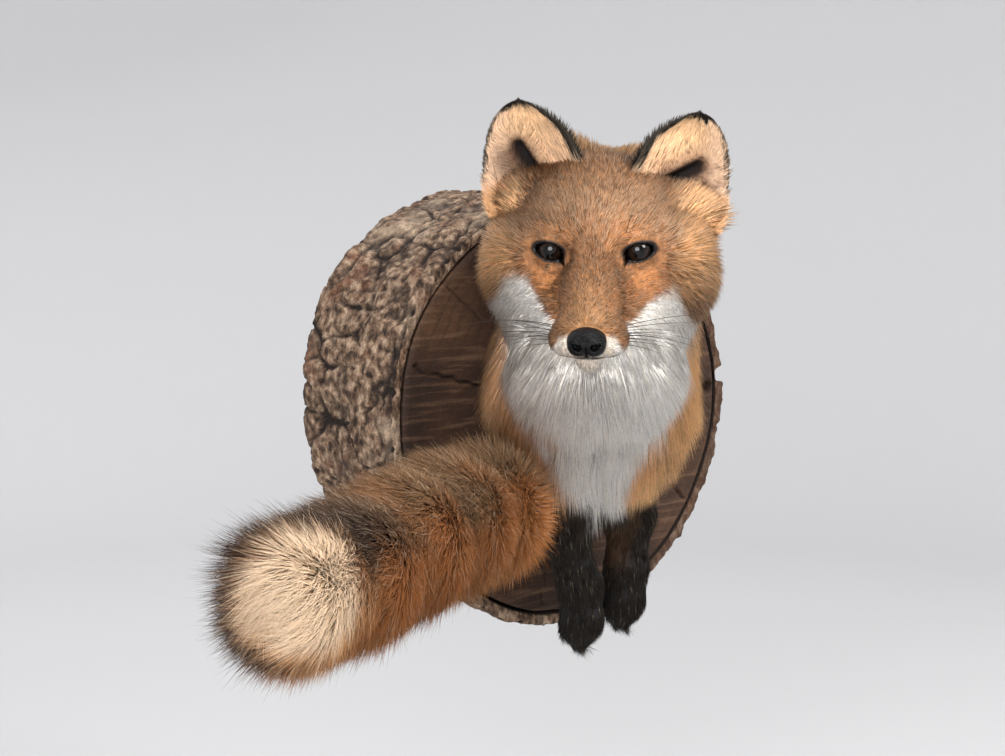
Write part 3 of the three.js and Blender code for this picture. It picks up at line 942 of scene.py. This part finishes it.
def round_the(p, centre, low, high):
    """Round and up on a drum about centre, both from 0 to 1."""
    turn = np.arctan2(p[..., 0] - centre[0], -(p[..., 1] - centre[1])) / (2 * math.pi) + 0.5
    return np.stack([turn, (p[..., 2] - low) / (high - low)], -1)


def on_the_ball(h):
    q = unit(h - arr(0, 25, -8))
    turn = np.arctan2(q[..., 0], -q[..., 1]) / (2 * math.pi) + 0.5
    return np.stack([turn, np.arcsin(q[..., 2]) / math.pi + 0.5], -1)


def fill_square(place):
    low, high = place.min(0), place.max(0)
    return (place - low) / np.maximum(high - low, 1e-6)


MUZZLE, FACE, CROWN, NECK, CHEST, LEG, BRUSH, BRUSH_TIP = 0, 1, 2, 3, 4, 5, 7, 9  # places in REGIONS
LIMBS = {"foreleg_right": "right", "foreleg_left": "left"}


def region(p):
    """The number of each place's region, as REGIONS lists them."""
    h = to_head(p)
    neck, leg, tail = body_share(p, h)
    y = h[..., 1] - 0.35 * np.maximum(np.abs(h[..., 0]) - 26, 0)
    where = np.where(y < -16, MUZZLE, np.where(y < 16, FACE, CROWN))
    where = np.where(neck > 0.5, np.where(p[..., 2] > 18, NECK, CHEST), where)
    legs = np.stack([leg_mass(p, s) for s in LIMBS.values()])
    where = np.where(leg > 0.5, LEG + np.argmin(legs, axis=0), where)
    station, _ = tail_place(p)
    return np.where(tail > 0.5, np.where(station < 2, BRUSH, np.where(station < 4, BRUSH + 1, BRUSH_TIP)), where)


# name, tufts and material slot
REGIONS = [
    ("coat_muzzle", 40000, "coat_rust"), ("coat_face", 44000, "coat_rust"), ("coat_crown", 45000, "coat_rust"),
    ("coat_neck", 47000, "coat_rust"), ("coat_chest", 44000, "coat_white"), ("coat_foreleg_right", 15000, "coat_dark"),
    ("coat_foreleg_left", 15000, "coat_dark"), ("coat_tail_base", 14000, "coat_brush"),
    ("coat_tail_middle", 40000, "coat_brush"), ("coat_tail_tip", 46000, "coat_tip"),
]
tri_region = region(body_verts[body_faces].mean(1))
SHARE = 1.0


def coat_of_head_and_neck(p, h, soft):
    """Length, width, lift and lie of the coat on the head, neck and chest."""
    x, y, z = np.abs(h[..., 0]), h[..., 1], h[..., 2]
    ruff = ramp(x, 28, 54) * ramp(y, -10, 16) * ramp(z, 22, 4)
    jaw = ramp(-z, 30, 46) * ramp(y, -44, -22)
    size = 3.4 + 2.6 * ramp(y, -62, -8) + 7 * ramp(y, 5, 42) + 14 * np.maximum(ruff, jaw)
    size = size * (1 - 0.3 * ramp(eyeball_distance(h), 10, 3))
    lips = ramp(np.abs(z - mouth_line(h)), 6, 1.5) * ramp(y, -16, -40)
    size = size * (1 - 0.62 * lips)
    near_ear = np.minimum(*[np.linalg.norm(h - arr(*EARS[s]["root"]) - arr(0, -2, 6), axis=-1) for s in EARS])
    near_ear = ramp(near_ear, 40, 20) * ramp(y, 8, 26)
    chin_hair = ramp(-z, 42, 58) * ramp(y, -54, -30) * RNG.random(len(p))
    tuft = ramp(np.linalg.norm(h - arr(-14, 58, 52), axis=-1), 26, 8)
    long = (30 + 4 * ramp(p[..., 2], 20, -20)) * (1 - 0.72 * ramp(p[..., 2], -38, -60))
    long = long * (0.8 + 0.4 * noise(p * arr(1, 1, 0.4), 9, 92))
    right = ramp(p[..., 0], 10, 40) * ramp(p[..., 2], 10, -20)
    size = lerp(size + near_ear + 11 * tuft + 14 * chin_hair, long * (1 - 0.6 * right), soft)
    wide = lerp(0.55 + 0.3 * ramp(size, 5, 12), 0.9, soft)
    lift = 19 + 12 * ramp(y, 10, 45) * ramp(z, 0, 25) + 8 * np.maximum(ruff, jaw) + 16 * tuft - 6 * lips
    flank = np.abs(neck_turn(p) - BIB_TURN)
    hang = 20 + 12 * ramp(flank, 40, 70) * (1 - right) - 9 * ramp(p[..., 2], -40, -64)
    hang = hang * (0.75 + 0.5 * noise(p, 15, 93))
    lift = np.radians(lerp(lift, hang, soft))
    way = lie_of_head(h)
    way[..., 2] *= 1 - 0.9 * lips
    return size, wide, lift, unit(mix(way @ HEAD_TURN.T, lie_of_neck(p), soft))


def coat_of_leg(p, side):
    wrist, toe = arr(*LEGS[side]["wrist"]), arr(*LEGS[side]["toe"])
    down = along(p, wrist, toe)
    toes = ramp(down, 0.72, 0.95)
    way = np.broadcast_to(unit(toe - wrist), p.shape) + toes[:, None] * unit(toe + arr(0, 0, -8) - p)
    return 8 + 5 * toes, np.full(len(p), 0.7), np.radians(12 - 4 * toes), unit(way)


def coat_of_brush(p):
    station, _ = tail_place(p)
    wisp = RNG.random(len(p)) < 0.07
    size = (37 - 3 * ramp(station, 4.5, 6)) * np.where(wisp, 1.22, 1)
    end = unit(p - TAIL_END)
    way = mix(tail_axis(station), unit(tail_axis(station) + end * 0.8), ramp(station, 5.3, 6))
    top = ramp(unit(p - TAIL_END)[..., 2], 0.2, 0.7) * ramp(station, 4.2, 5.2)
    size = size * (0.72 + 0.28 * RNG.random(len(p))) + 17 * top * RNG.random(len(p))
    return size, np.where(wisp, 0.5, 0.6), np.radians(31 + 6 * ramp(station, 5, 6) + 12 * top), unit(way), wisp


for number, (name, count, slot) in enumerate(REGIONS):
    p, n = scatter(body_verts, body_faces[tri_region == number], int(count * SHARE))
    swing, stray = 0.5, 0.07
    h = to_head(p)
    e = eye_local(h)
    lids = (eyeball_distance(h) < 5) & (e[..., 2] > 0) & (lid_opening(e) < 1.5)
    pad = np.linalg.norm((h - arr(*NOSE["place"])) / arr(12, 11, 8.4), axis=-1) < 1
    lips = (np.abs(h[..., 2] - mouth_line(h)) < 1.5) & (h[..., 1] < -16)
    keep = ~(lids | pad | lips) & (p[..., 1] < FACE_Y - 1.5)
    p, n, h = p[keep], n[keep], h[keep]
    share = body_share(p, h)
    droop, clump, cell, root_shade, wisp = 0.06, 0.25, 5, 0.62, False
    if number <= CHEST:
        out = unit((p - arr(*NECK_AXIS, 0)) * arr(1, 1, 0))
        under = np.maximum(share[0], ramp(-h[:, 2], 44, 60))
        n = unit(mix(n, out, 0.55 * under) * (arr(1, 1, 1) - arr(0, 0, 0.8) * ramp(-p[:, 2], 30, 48)[:, None]))
        size, wide, lift, way = coat_of_head_and_neck(p, h, share[0])
        where = on_the_ball(h) if number < NECK else round_the(p, (-16, -150), -70, 110)
        if number >= NECK:
            clump, cell, droop, root_shade = 0.5, 7, 0.1, 0.74
    elif number < BRUSH:
        side = list(LIMBS.values())[number - LEG]
        size, wide, lift, way = coat_of_leg(p, side)
        where = round_the(p, LEGS[side]["wrist"], LEGS[side]["toe"][2] - 20, LEGS[side]["wrist"][2] + 30)
    else:
        size, wide, lift, way, wisp = coat_of_brush(p)
        station, out = tail_place(p)
        angle = np.arctan2(out[..., 2], out @ arr(0.5, -0.86, 0)) / (2 * math.pi) + 0.5
        beyond = 0.02 * ((p - TAIL_END) @ TAIL_TANGENT) * (station > 5.9)
        where = np.stack([angle, station + beyond], -1)
        clump, cell, droop, swing, stray = 0.2, 6, 0.03, 0.25, 0.2
    # the markings are where a tuft shows, which is past its root
    seen = p + (tangent(way, n) * np.cos(lift)[:, None] + n * np.sin(lift)[:, None]) * (0.6 * size)[:, None]
    base, pale, dark = markings(seen, to_head(seen), share)
    dark = np.where(wisp, 0.8, dark)
    root_shade = 0.8 if number == BRUSH_TIP else root_shade
    spread = 0.36 if number < NECK else 0.14 if number == BRUSH_TIP else 0.24
    shades = shades_of(base, pale, dark, root_shade, spread)
    sink = 0.15 if number == MUZZLE else 0.5
    grow(name, slot, p, n, way, size, wide, lift, shades, fill_square(where), droop, clump, cell, sink, stray, swing)


def ear_coat(side):
    """Inside, back and rim, each with its own lie."""
    inner = 1 if side == "right" else -1
    n = int(14000 * SHARE)
    u, v = RNG.uniform(-1, 1, n), RNG.uniform(-1, 0.97, n)
    w = np.where(np.arange(n) < n * 0.62, 1.0, -1.0)
    rim_part = np.arange(n) % 4 == 0
    u = np.where(rim_part, np.sign(u) * (0.95 + 0.05 * RNG.random(n)), u)
    foot = (np.arange(n) % 12 == 1)
    u = np.where(foot, -inner * (0.8 + 0.22 * RNG.random(n)), u)
    v = np.where(foot, -1 + 0.75 * RNG.random(n), v)
    step = 0.02

    def at(du, dv):
        return ear_point(side, np.clip(u + du, -1.02, 1.02), v + dv, w, 1.4)

    root = at(0, 0)
    along_u, along_v = unit(at(step, 0) - at(-step, 0)), unit(at(0, step) - at(0, -step))
    normal = unit(np.cross(along_u, along_v)) * np.where(w > 0, 1, -1)[:, None]
    base, conch = ear_colour(side, u, v, w)
    t = (v + 1) / 2
    towards = u * inner
    off_u = conch_distance(side, u + 0.02, t) - conch_distance(side, u - 0.02, t)
    off_t = conch_distance(side, u, t + 0.01) - conch_distance(side, u, t - 0.01)
    away = unit(np.stack([off_u, off_t], -1) + 1e-9) * ramp(conch, 6, 2)[:, None] * (w > 0)[:, None]
    way = unit(along_v * (0.8 + 1.4 * away[:, 1:]) + along_u * (0.2 * u[:, None] + 1.4 * away[:, :1]))
    way = np.where((rim_part | foot)[:, None], unit(along_v + along_u * np.sign(u)[:, None] * 0.9), way)
    brush = ramp(towards, 0.05, 0.5) * ramp(t, 0.9, 0.5)
    size = np.where(w > 0, 7 + 4 * brush, 6.0) + 5 * ramp(t, 0.35, 0.1)
    size = np.where(w > 0, size * (0.45 + 0.55 * ramp(conch, 1.1, 2.4)), size)
    size = np.where(rim_part, np.where(towards > 0, 6.5, 4.0), size) * (1 - 0.5 * ramp(t, 0.8, 0.97))
    size = np.where(foot, 7.0, size)
    lift = np.radians(np.where(w > 0, 16 + 6 * brush, 14) + 8 * rim_part + 14 * foot)
    keep = ~((w > 0) & (conch < 1.15) & (RNG.random(n) < 0.8))
    colours = shades_of(base, 0.3 * (w > 0) * (base[:, 1] > 0.1), 0.08, 0.5, 0.32)
    where = np.stack([(u + 1.05) / 2.1 * 0.48 + np.where(w > 0, 0, 0.51), (v + 1.02) / 2.04], -1)
    root, normal, way, size, lift, where = [part[keep] for part in (root, normal, way, size, lift, where)]
    grow("coat_ear_" + side, "coat_ear", root, normal, way, size, np.full(keep.sum(), 0.65), lift,
         [c[keep] for c in colours], where, 0.02, 0.3, 4)


for side in EARS:
    ear_coat(side)

# ---------- eyes ----------


def eye_ball(side):
    """A glass eye with a dark iris, an upright pupil and a cornea standing a little proud."""
    sign = 1 if side == "left" else -1
    centre = arr(sign * EYE["apart"] / 2, EYE["back"], 0)
    forward = EYE_FORWARD * arr(sign, 1, 1)
    across = unit(np.cross(arr(0, 0, 1), forward))
    up = np.cross(forward, across)
    rings, spokes = 72, 64
    verts, tint = [], []
    for i in range(rings + 1):
        a = math.pi * i / rings
        for j in range(spokes):
            b = 2 * math.pi * j / spokes
            s, c = math.sin(a), math.cos(a)
            radius = EYE["radius"] + 0.9 * max(0, 1 - (a / 0.68) ** 2)
            verts.append(centre + radius * (forward * c + (across * math.cos(b) + up * math.sin(b)) * s))
            x, y = s * math.cos(b), s * math.sin(b)
            pupil = ramp(np.hypot(x / 0.3, y / 0.42), 1.15, 0.95)
            iris = srgb(24, 16, 12) * (0.7 + 0.5 * noise(arr(math.cos(b), math.sin(b), 0) * 9, 1.0, 3))
            iris = mix(iris, SOOT * 0.5, float(ramp(s, 0.6, 0.74)))
            tint.append(mix(iris, SOOT * 0.15, float(pupil)))
    faces = []
    for i in range(rings):
        for j in range(spokes):
            k = (j + 1) % spokes
            faces.append((i * spokes + j, (i + 1) * spokes + j, (i + 1) * spokes + k, i * spokes + k))
    made = new_object("eyeball_" + side, from_head(np.array(verts)), np.array(faces))
    set_colour(made, "coat", np.array(tint))
    clean = bmesh.new()
    clean.from_mesh(made.data)
    bmesh.ops.remove_doubles(clean, verts=clean.verts, dist=1e-6)
    bmesh.ops.recalc_face_normals(clean, faces=clean.faces)
    clean.to_mesh(made.data)
    clean.free()
    made.data.materials.append(eye_material)
    hold(made, "eye", "eye_" + side)


eye_material = make_eye()
for side in ("left", "right"):
    eye_ball(side)

# ---------- nose ----------


def nose_field(h):
    m = mirrored(h)
    x, z = m[..., 0], m[..., 2]
    pad = fillet(3, egg(m, (0, -73, -33), (11, 8.5, 7.2)), egg(m, (4.2, -75.5, -36.5), (6.2, 6, 5.2)))
    pad = fillet(2.5, pad, egg(m, (0, -71, -40.4), (2.2, 5, 4.2)))
    bore = egg(m, (4.6, -82.2, -35.6), (2.3, 4.6, 1.9))
    slit = limb(m, (5.5, -81, -35.2), (9.6, -76, -33.4), 1.3, 0.7)
    pad = carve(0.8, pad, bore)
    pad = carve(0.7, pad, slit)
    split = np.maximum(x - 0.35, z + 35)
    pad = np.maximum(pad, -np.maximum(split, -(pad + 0.9)))
    return pad + 0.12 * (noise(h, 1.1, 61) - 0.5)


lines = [np.arange(-13, 13.2, 0.42), np.arange(-85, -62, 0.42), np.arange(-50, -23, 0.42)]
verts, faces = surface_net(nose_field, lines)
nose = new_object("nose_pad", from_head(verts), faces)
nose.data.materials.append(make_nose())
hold(nose, "nose", "nose")

# ---------- whiskers ----------


def tube(points, radii, sides=5):
    """A closed tapering tube along points."""
    points = np.asarray(points, float)
    ways = unit(np.gradient(points, axis=0))
    side = unit(np.cross(ways, arr(0.13, 0.31, 0.94)))
    lid = np.cross(ways, side)
    angle = np.arange(sides) * 2 * math.pi / sides
    ring = side[:, None] * np.cos(angle)[None, :, None] + lid[:, None] * np.sin(angle)[None, :, None]
    verts = (points[:, None] + ring * np.asarray(radii)[:, None, None]).reshape(-1, 3)
    n = len(points)
    faces = [(i * sides + j, i * sides + (j + 1) % sides, (i + 1) * sides + (j + 1) % sides, (i + 1) * sides + j)
             for i in range(n - 1) for j in range(sides)]
    tris = [(a, b, c) for a, b, c, d in faces] + [(a, c, d) for a, b, c, d in faces]
    for j in range(1, sides - 1):
        tris.append((0, j + 1, j))
        tris.append(((n - 1) * sides, (n - 1) * sides + j, (n - 1) * sides + j + 1))
    return verts, np.array(tris)


def whisker_set(name, hairs):
    verts, faces, tint, count = [], [], [], 0
    for start, way, size, sag, thick, tone in hairs:
        s = np.linspace(0, 1, 12)
        points = start + way * (s * size)[:, None] + arr(0, 0.25, -1) * (sag * size * s**2)[:, None]
        v, f = tube(points, thick * (1 - 0.85 * s))
        verts.append(v)
        faces.append(f + count)
        tint.append(np.broadcast_to(tone, v.shape))
        count += len(v)
    made = new_object(name, from_head(np.concatenate(verts)), np.concatenate(faces))
    set_colour(made, "coat", np.concatenate(tint))
    made.data.materials.append(whisker_material)
    hold(made, "coat_dark")


whisker_material = make_whisker()
for side, sign in (("left", 1), ("right", -1)):
    hairs = []
    for row in range(3):
        for k in range(4 - row % 2):
            y = -64 + k * 5.5 + row * 1.2
            root = arr(sign * (13 + k * 1.3), y, -33 - row * 2.8)
            way = unit(arr(sign * (0.85 + 0.1 * k), 0.1 + 0.08 * k, 0.2 - 0.12 * row + RNG.normal(0, 0.05)))
            size = 30 + 9 * k - 3 * row + RNG.uniform(-4, 6)
            hairs.append((root, way, size, RNG.uniform(0.05, 0.3), 0.27, SOOT * (1 + RNG.random())))
    for k in range(4):
        root = arr(sign * (19 + 3 * k), -10 + 2.5 * k, 13.5 + k * 0.5)
        way = unit(arr(sign * (0.25 + 0.1 * k), -0.25, 0.9))
        hairs.append((root, way, 17 + RNG.uniform(-3, 4), RNG.uniform(0, 0.1), 0.2, SOOT))
    whisker_set("whiskers_" + side, hairs)

# ---------- log: sawn wood with the bark standing off it ----------
CRACKS = [  # angle in degrees, inner and outer share of the radius, width, depth
    (2.6, 0.86, 0.985, 6.0, 12), (47, 0.55, 0.9, 1.3, 5), (-33, 0.5, 0.97, 1.1, 5), (-58, 0.35, 0.8, 1.0, 4),
    (112, 0.3, 0.93, 1.4, 6), (163, 0.45, 0.97, 1.2, 5), (-152, 0.4, 0.9, 1.0, 4), (-100, 0.5, 0.96, 1.3, 5),
    (78, 0.6, 0.95, 0.9, 4), (20, 0.62, 0.9, 0.8, 3), (138, 0.66, 0.98, 1.0, 4), (-12, 0.6, 0.96, 0.7, 3),
]


def log_radius(a, depth):
    size = LOG["back"] + (LOG["front"] - LOG["back"]) * depth / LOG["depth"]
    return size * (1 + 0.008 * np.cos(2 * a + 0.6) + 0.008 * np.cos(3 * a - 1.1) + 0.004 * np.cos(7 * a))


def log_point(a, r, depth):
    f = depth / LOG["depth"]
    return np.stack([LOG["shift"][0] * f + r * np.cos(a), -depth + 0 * a, LOG["shift"][1] * f + r * np.sin(a)], -1)


def cells(p, size, seed=0):
    """Distances to the nearest and the second nearest of scattered seeds, in sizes."""
    q = np.asarray(p, float) / size
    home = np.floor(q).astype(np.int64)
    best, second = np.full(q.shape[:-1], 9.0), np.full(q.shape[:-1], 9.0)
    for dx in (-1, 0, 1):
        for dy in (-1, 0, 1):
            for dz in (-1, 0, 1):
                c = home + np.array([dx, dy, dz])
                key = hash_key(c) ^ (seed * 7919)
                spot = c + np.stack([HASH[(key + k * 1013) & 4095] for k in range(3)], -1)
                d = np.linalg.norm(spot - q, axis=-1)
                second = np.minimum(second, np.maximum(best, d))
                best = np.minimum(best, d)
    return best, second


def wrapped_grid(rows, columns, first=0):
    """Four-sided faces of a grid whose columns close on themselves."""
    i, j = np.meshgrid(np.arange(rows - 1), np.arange(columns), indexing="ij")
    a, b = i * columns + j, i * columns + (j + 1) % columns
    return np.stack([a, b, b + columns, a + columns], -1).reshape(-1, 4) + first


def gap_at(a):
    """0 to 1 where a piece of bark has come away at the right."""
    turn = (np.degrees(a) + 180) % 360 - 180
    return ramp(np.abs(turn - 5.6), 2.3, 1.7)


def sawn_wood():
    turns = 720
    a = np.arange(turns) * 2 * math.pi / turns
    shares = np.concatenate([np.linspace(0.02, 0.97, 110), [0.985, 0.995, 1.0]])
    ragged = 0.9 * (noise(np.stack([np.cos(a), np.sin(a), a * 0], -1) * 9, 1.0, 71) - 0.5)
    rim = log_radius(a, LOG["depth"]) - LOG["bark"] - 1.4 + ragged
    rows = []
    for s in shares:
        p = log_point(a, rim * s, LOG["depth"])
        deep = 0.35 * noise(p * arr(0.12, 0, 1.4), 1.0, 72) + 0.25 * rough(p, 9, 3, 73)
        deep = deep + 0.9 * ramp(s, 0.985, 1.0) * np.ones(turns)
        for angle, low, high, wide, depth in CRACKS:
            off = (np.degrees(a) - angle + 180) % 360 - 180
            wander = 1.3 * (noise(np.stack([0 * a + s * 22, a * 0, a * 0 + angle], -1), 1.0, 74) - 0.5)
            across = np.abs(np.radians(off + wander)) * rim * s
            taper = ramp(s, low, low + 0.12) * ramp(-s, -high - 0.015, -high + 0.01)
            deep = deep + depth * ramp(-across, -wide * (0.3 + 0.7 * taper), 0) ** 0.7 * taper
        rows.append(p + np.stack([0 * a, deep, 0 * a], -1))
    for depth in np.linspace(0.97, 0.03, 24) * LOG["depth"]:
        r = log_radius(a, depth) - LOG["bark"] - 1.2 + 0.6 * noise(log_point(a, 130, depth) * arr(1, 0.1, 1), 5, 75)
        rows.append(log_point(a, r, depth))
    for s in (0.999, 0.99, 0.8, 0.5, 0.2, 0.02):
        rows.append(log_point(a, (log_radius(a, 0.0) - LOG["bark"] - 1.2) * s, 0.0))
    verts = np.concatenate(rows)
    faces = wrapped_grid(len(rows), turns)
    ends = len(verts)
    middles = [log_point(np.array(0.0), 0.0, depth) for depth in (LOG["depth"] - 0.4, 0.0)]
    verts = np.concatenate([verts, middles])
    j = np.arange(turns)
    front = np.stack([np.full(turns, ends), (j + 1) % turns, j], -1)
    last = (len(rows) - 1) * turns
    back = np.stack([np.full(turns, ends + 1), last + j, last + (j + 1) % turns], -1)
    return new_object("sawn_wood", verts, [faces, front, back])


def bark_ring():
    turns = 620
    a = np.arange(turns) * 2 * math.pi / turns
    deeps = np.concatenate([[0.2, 1.2], np.linspace(2.5, LOG["depth"] - 2, 62), [LOG["depth"] - 0.8]])
    rows, heights = [], []
    for depth in deeps:
        p = log_point(a, 145.0, depth)
        q = p * arr(1, 0.7, 1) + 14 * np.stack([rough(p, 26, 3, k) - 0.5 for k in (81, 82, 83)], -1)
        near, far = cells(q, 30, 3)
        crack = 1 - ramp(far - near, 0.015, 0.10)
        flake = rough(q, 15, 3, 88) * 7
        part = flake - np.floor(flake)
        terrace = (np.floor(flake) + ramp(part, 0.7, 1.0)) / 7
        height = 5.5 * (terrace - 0.62) - 2.6 * crack * (0.4 + 0.6 * noise(p, 12, 89))
        height = height + 2.4 * (rough(p, 34, 2, 84) - 0.5)
        height = height + 0.9 * (noise(p, 3.2, 85) - 0.5) + 0.7 * (noise(p, 1.7, 90) - 0.5)
        ends = ramp(depth, LOG["depth"] - 5, LOG["depth"]) + ramp(-depth, -4, 0)
        gap = gap_at(a) * ramp(depth, LOG["depth"] - 26, LOG["depth"] - 16)
        height = height - 1.3 * ends - (LOG["bark"] - 3.0) * gap
        heights.append(height)
        rows.append(log_point(a, log_radius(a, depth) - 0.4 + np.clip(height, -9.5, 1.8), depth))
    outer = log_radius(a, LOG["depth"]) - 0.4 + np.clip(heights[-1], -9.5, 1.8)
    stand = 1.0 + 1.3 * noise(np.stack([np.cos(a), np.sin(a), 0 * a], -1) * 5, 1.0, 86)
    inner = log_radius(a, LOG["depth"]) - LOG["bark"] + stand
    inner = np.minimum(inner, outer - 0.6)
    for s in (0.04, 0.25, 0.5, 0.75, 0.96):
        r = outer + (inner - outer) * s
        p = log_point(a, r, LOG["depth"])
        out = 0.9 * (rough(p, 5, 2, 87) - 0.6) + 0.7 * (1 - (2 * s - 1) ** 4) - 0.8
        rows.append(log_point(a, r, LOG["depth"]) - np.stack([0 * a, out, 0 * a], -1))
        heights.append(np.full(turns, -1.0))
    # the inner face, lying against the wood; its low relief gets painted shade from the bark's material
    for depth in np.linspace(LOG["depth"] - 1.0, 0.3, 26):
        top = log_radius(a, depth) - LOG["bark"] + stand * (depth / LOG["depth"]) + 0.3
        rows.append(log_point(a, np.minimum(top, log_radius(a, depth) - 10.2 + 0.001 * depth), depth))
        heights.append(np.full(turns, -4.0))
    verts = np.concatenate(rows)
    faces = wrapped_grid(len(rows) + 1, turns) % len(verts)
    made = new_object("bark", verts, faces[:, ::-1])
    set_value(made, "relief", heights)
    return made


def make_wood():
    surface = Surface("sawn_wood", 0.78, 0.3)
    rings = surface.node("ShaderNodeTexWave", Scale=38, Distortion=5, Detail=3, Detail_Scale=1.2)
    rings.wave_type, rings.rings_direction = "RINGS", "Y"
    heart = (-LOG["shift"][0] * MM, 0, -LOG["shift"][1] * MM)
    surface.links.new(surface.place(Location=heart), rings.inputs["Vector"])
    saw, fibre = surface.noise(260, 3, (0.08, 0.5, 1)), surface.noise(900, 3)
    stops = [(0.32, srgb(24, 15, 10)), (0.5, srgb(48, 30, 19)), (0.68, srgb(74, 50, 32))]
    base = surface.steps(surface.noise(14, 5), stops)
    base = surface.mix(base, srgb(44, 30, 22), surface.spread(rings.outputs["Fac"], 0.55, 0.95, 0, 0.45))
    base = surface.mix(base, srgb(112, 84, 62), surface.spread(saw, 0.5, 0.75, 0, 0.5))
    surface.bump(saw, 0.0012, 0.8)
    surface.bump(fibre, 0.0006, 0.7)
    return surface.coloured(surface.times(base, fibre, 0.75, 1.25))


def make_bark():
    surface = Surface("bark", 0.85, 0.25)
    flake, grit = surface.noise(260, 5, (1, 0.7, 0.6)), surface.noise(900, 4)
    base = surface.steps(flake, [
        (0.34, srgb(40, 28, 21)), (0.46, srgb(88, 68, 52)), (0.56, srgb(124, 101, 82)), (0.68, srgb(158, 136, 114)),
    ])
    split = surface.nodes.new("ShaderNodeSeparateXYZ")
    surface.links.new(surface.nodes.new("ShaderNodeTexCoord").outputs["Object"], split.inputs[0])
    for colour, value, low, high, most in (
        (srgb(104, 62, 40), surface.noise(40, 3), 0.56, 0.7, 0.55),  # reddish patches
        (srgb(172, 152, 130), surface.noise(22, 4), 0.55, 0.68, 0.5),  # lichen
        (srgb(58, 46, 38), surface.noise(28, 5), 0.55, 0.7, 0.6),  # weathered patches
        (srgb(64, 42, 30), split.outputs["X"], 0.02, 0.11, 0.72),  # darker towards the right
        (srgb(28, 19, 14), surface.attribute("relief"), -1.4, -3.6, 1),  # painted shade down in the cracks, in the gap and on the inner face
    ):
        base = surface.mix(base, colour, surface.spread(value, low, high, 0, most))
    surface.bump(flake, 0.003, 0.9)
    surface.bump(grit, 0.0012, 0.9)
    return surface.coloured(surface.times(base, grit, 0.65, 1.3))


wood = sawn_wood()
wood.data.materials.append(make_wood())
hold(wood, "wood", "log_wood")
bark = bark_ring()
bark.data.materials.append(make_bark())
hold(bark, "bark", *[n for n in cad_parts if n.startswith("log_bark")])

# ---------- stage, light and camera ----------


def stage_bowl():
    """A pale floor that curves up all round into a backdrop."""
    turns = 96
    a = np.arange(turns) * 2 * math.pi / turns
    flat, curve, low, top = 1600, 900, -450, 3200
    outline = [(0.001, low), (flat, low)]
    for t in np.linspace(0, math.pi / 2, 20)[1:]:
        outline.append((flat + curve * math.sin(t), low + curve - curve * math.cos(t)))
    outline.append((flat + curve, top))
    verts = np.concatenate([np.stack([r * np.cos(a), r * np.sin(a), np.full(turns, z)], -1) for r, z in outline])
    floor = new_object("floor", verts, wrapped_grid(len(outline), turns))
    paint = Surface("pale_floor", 0.9, 0.1)
    paint.shader.inputs["Base Color"].default_value = (*srgb(178, 178, 179), 1)
    floor.data.materials.append(paint.made)


def area_light(name, place, aim, size, power, colour=(1, 1, 1)):
    data = bpy.data.lights.new(name, "AREA")
    data.shape, data.size, data.energy, data.color = "DISK", size, power, colour
    made = bpy.data.objects.new(name, data)
    bpy.context.collection.objects.link(made)
    made.location = place
    made.rotation_euler = (Vector(aim) - Vector(place)).to_track_quat("-Z", "Y").to_euler()


stage_bowl()
area_light("key", (0.75, -1.75, 1.5), (-0.05, -0.1, 0), 1.1, 62, (1, 0.985, 0.96))
area_light("fill", (-1.7, -1.5, 0.7), (0, 0, 0), 1.6, 76, (0.985, 0.985, 1))
area_light("back", (0.3, 1.7, 1.3), (0, 0, 0), 1.6, 16)
world = bpy.data.worlds.new("studio")
bpy.context.scene.world = world
world.use_nodes = True
world.node_tree.nodes["Background"].inputs["Color"].default_value = (0.97, 0.98, 1.0, 1)
world.node_tree.nodes["Background"].inputs["Strength"].default_value = 1.42
bpy.context.scene.view_settings.view_transform = "Standard"

camera_data = bpy.data.cameras.new("camera")
camera_data.sensor_width = 36
camera_data.lens = PHOTO["focal"] / PHOTO["width"] * camera_data.sensor_width
camera_data.clip_start = 0.05
camera = bpy.data.objects.new("camera", camera_data)
bpy.context.collection.objects.link(camera)
azimuth, elevation, aim = math.radians(PHOTO["azimuth"]), math.radians(PHOTO["elevation"]), Vector((0.032, 0, 0.002))
level = math.cos(elevation)
back_way = Vector((math.sin(azimuth) * level, -math.cos(azimuth) * level, math.sin(elevation)))
camera.location = aim + back_way * PHOTO["away"]
camera.rotation_euler = (-back_way).to_track_quat("-Z", "Y").to_euler()
bpy.context.scene.camera = camera
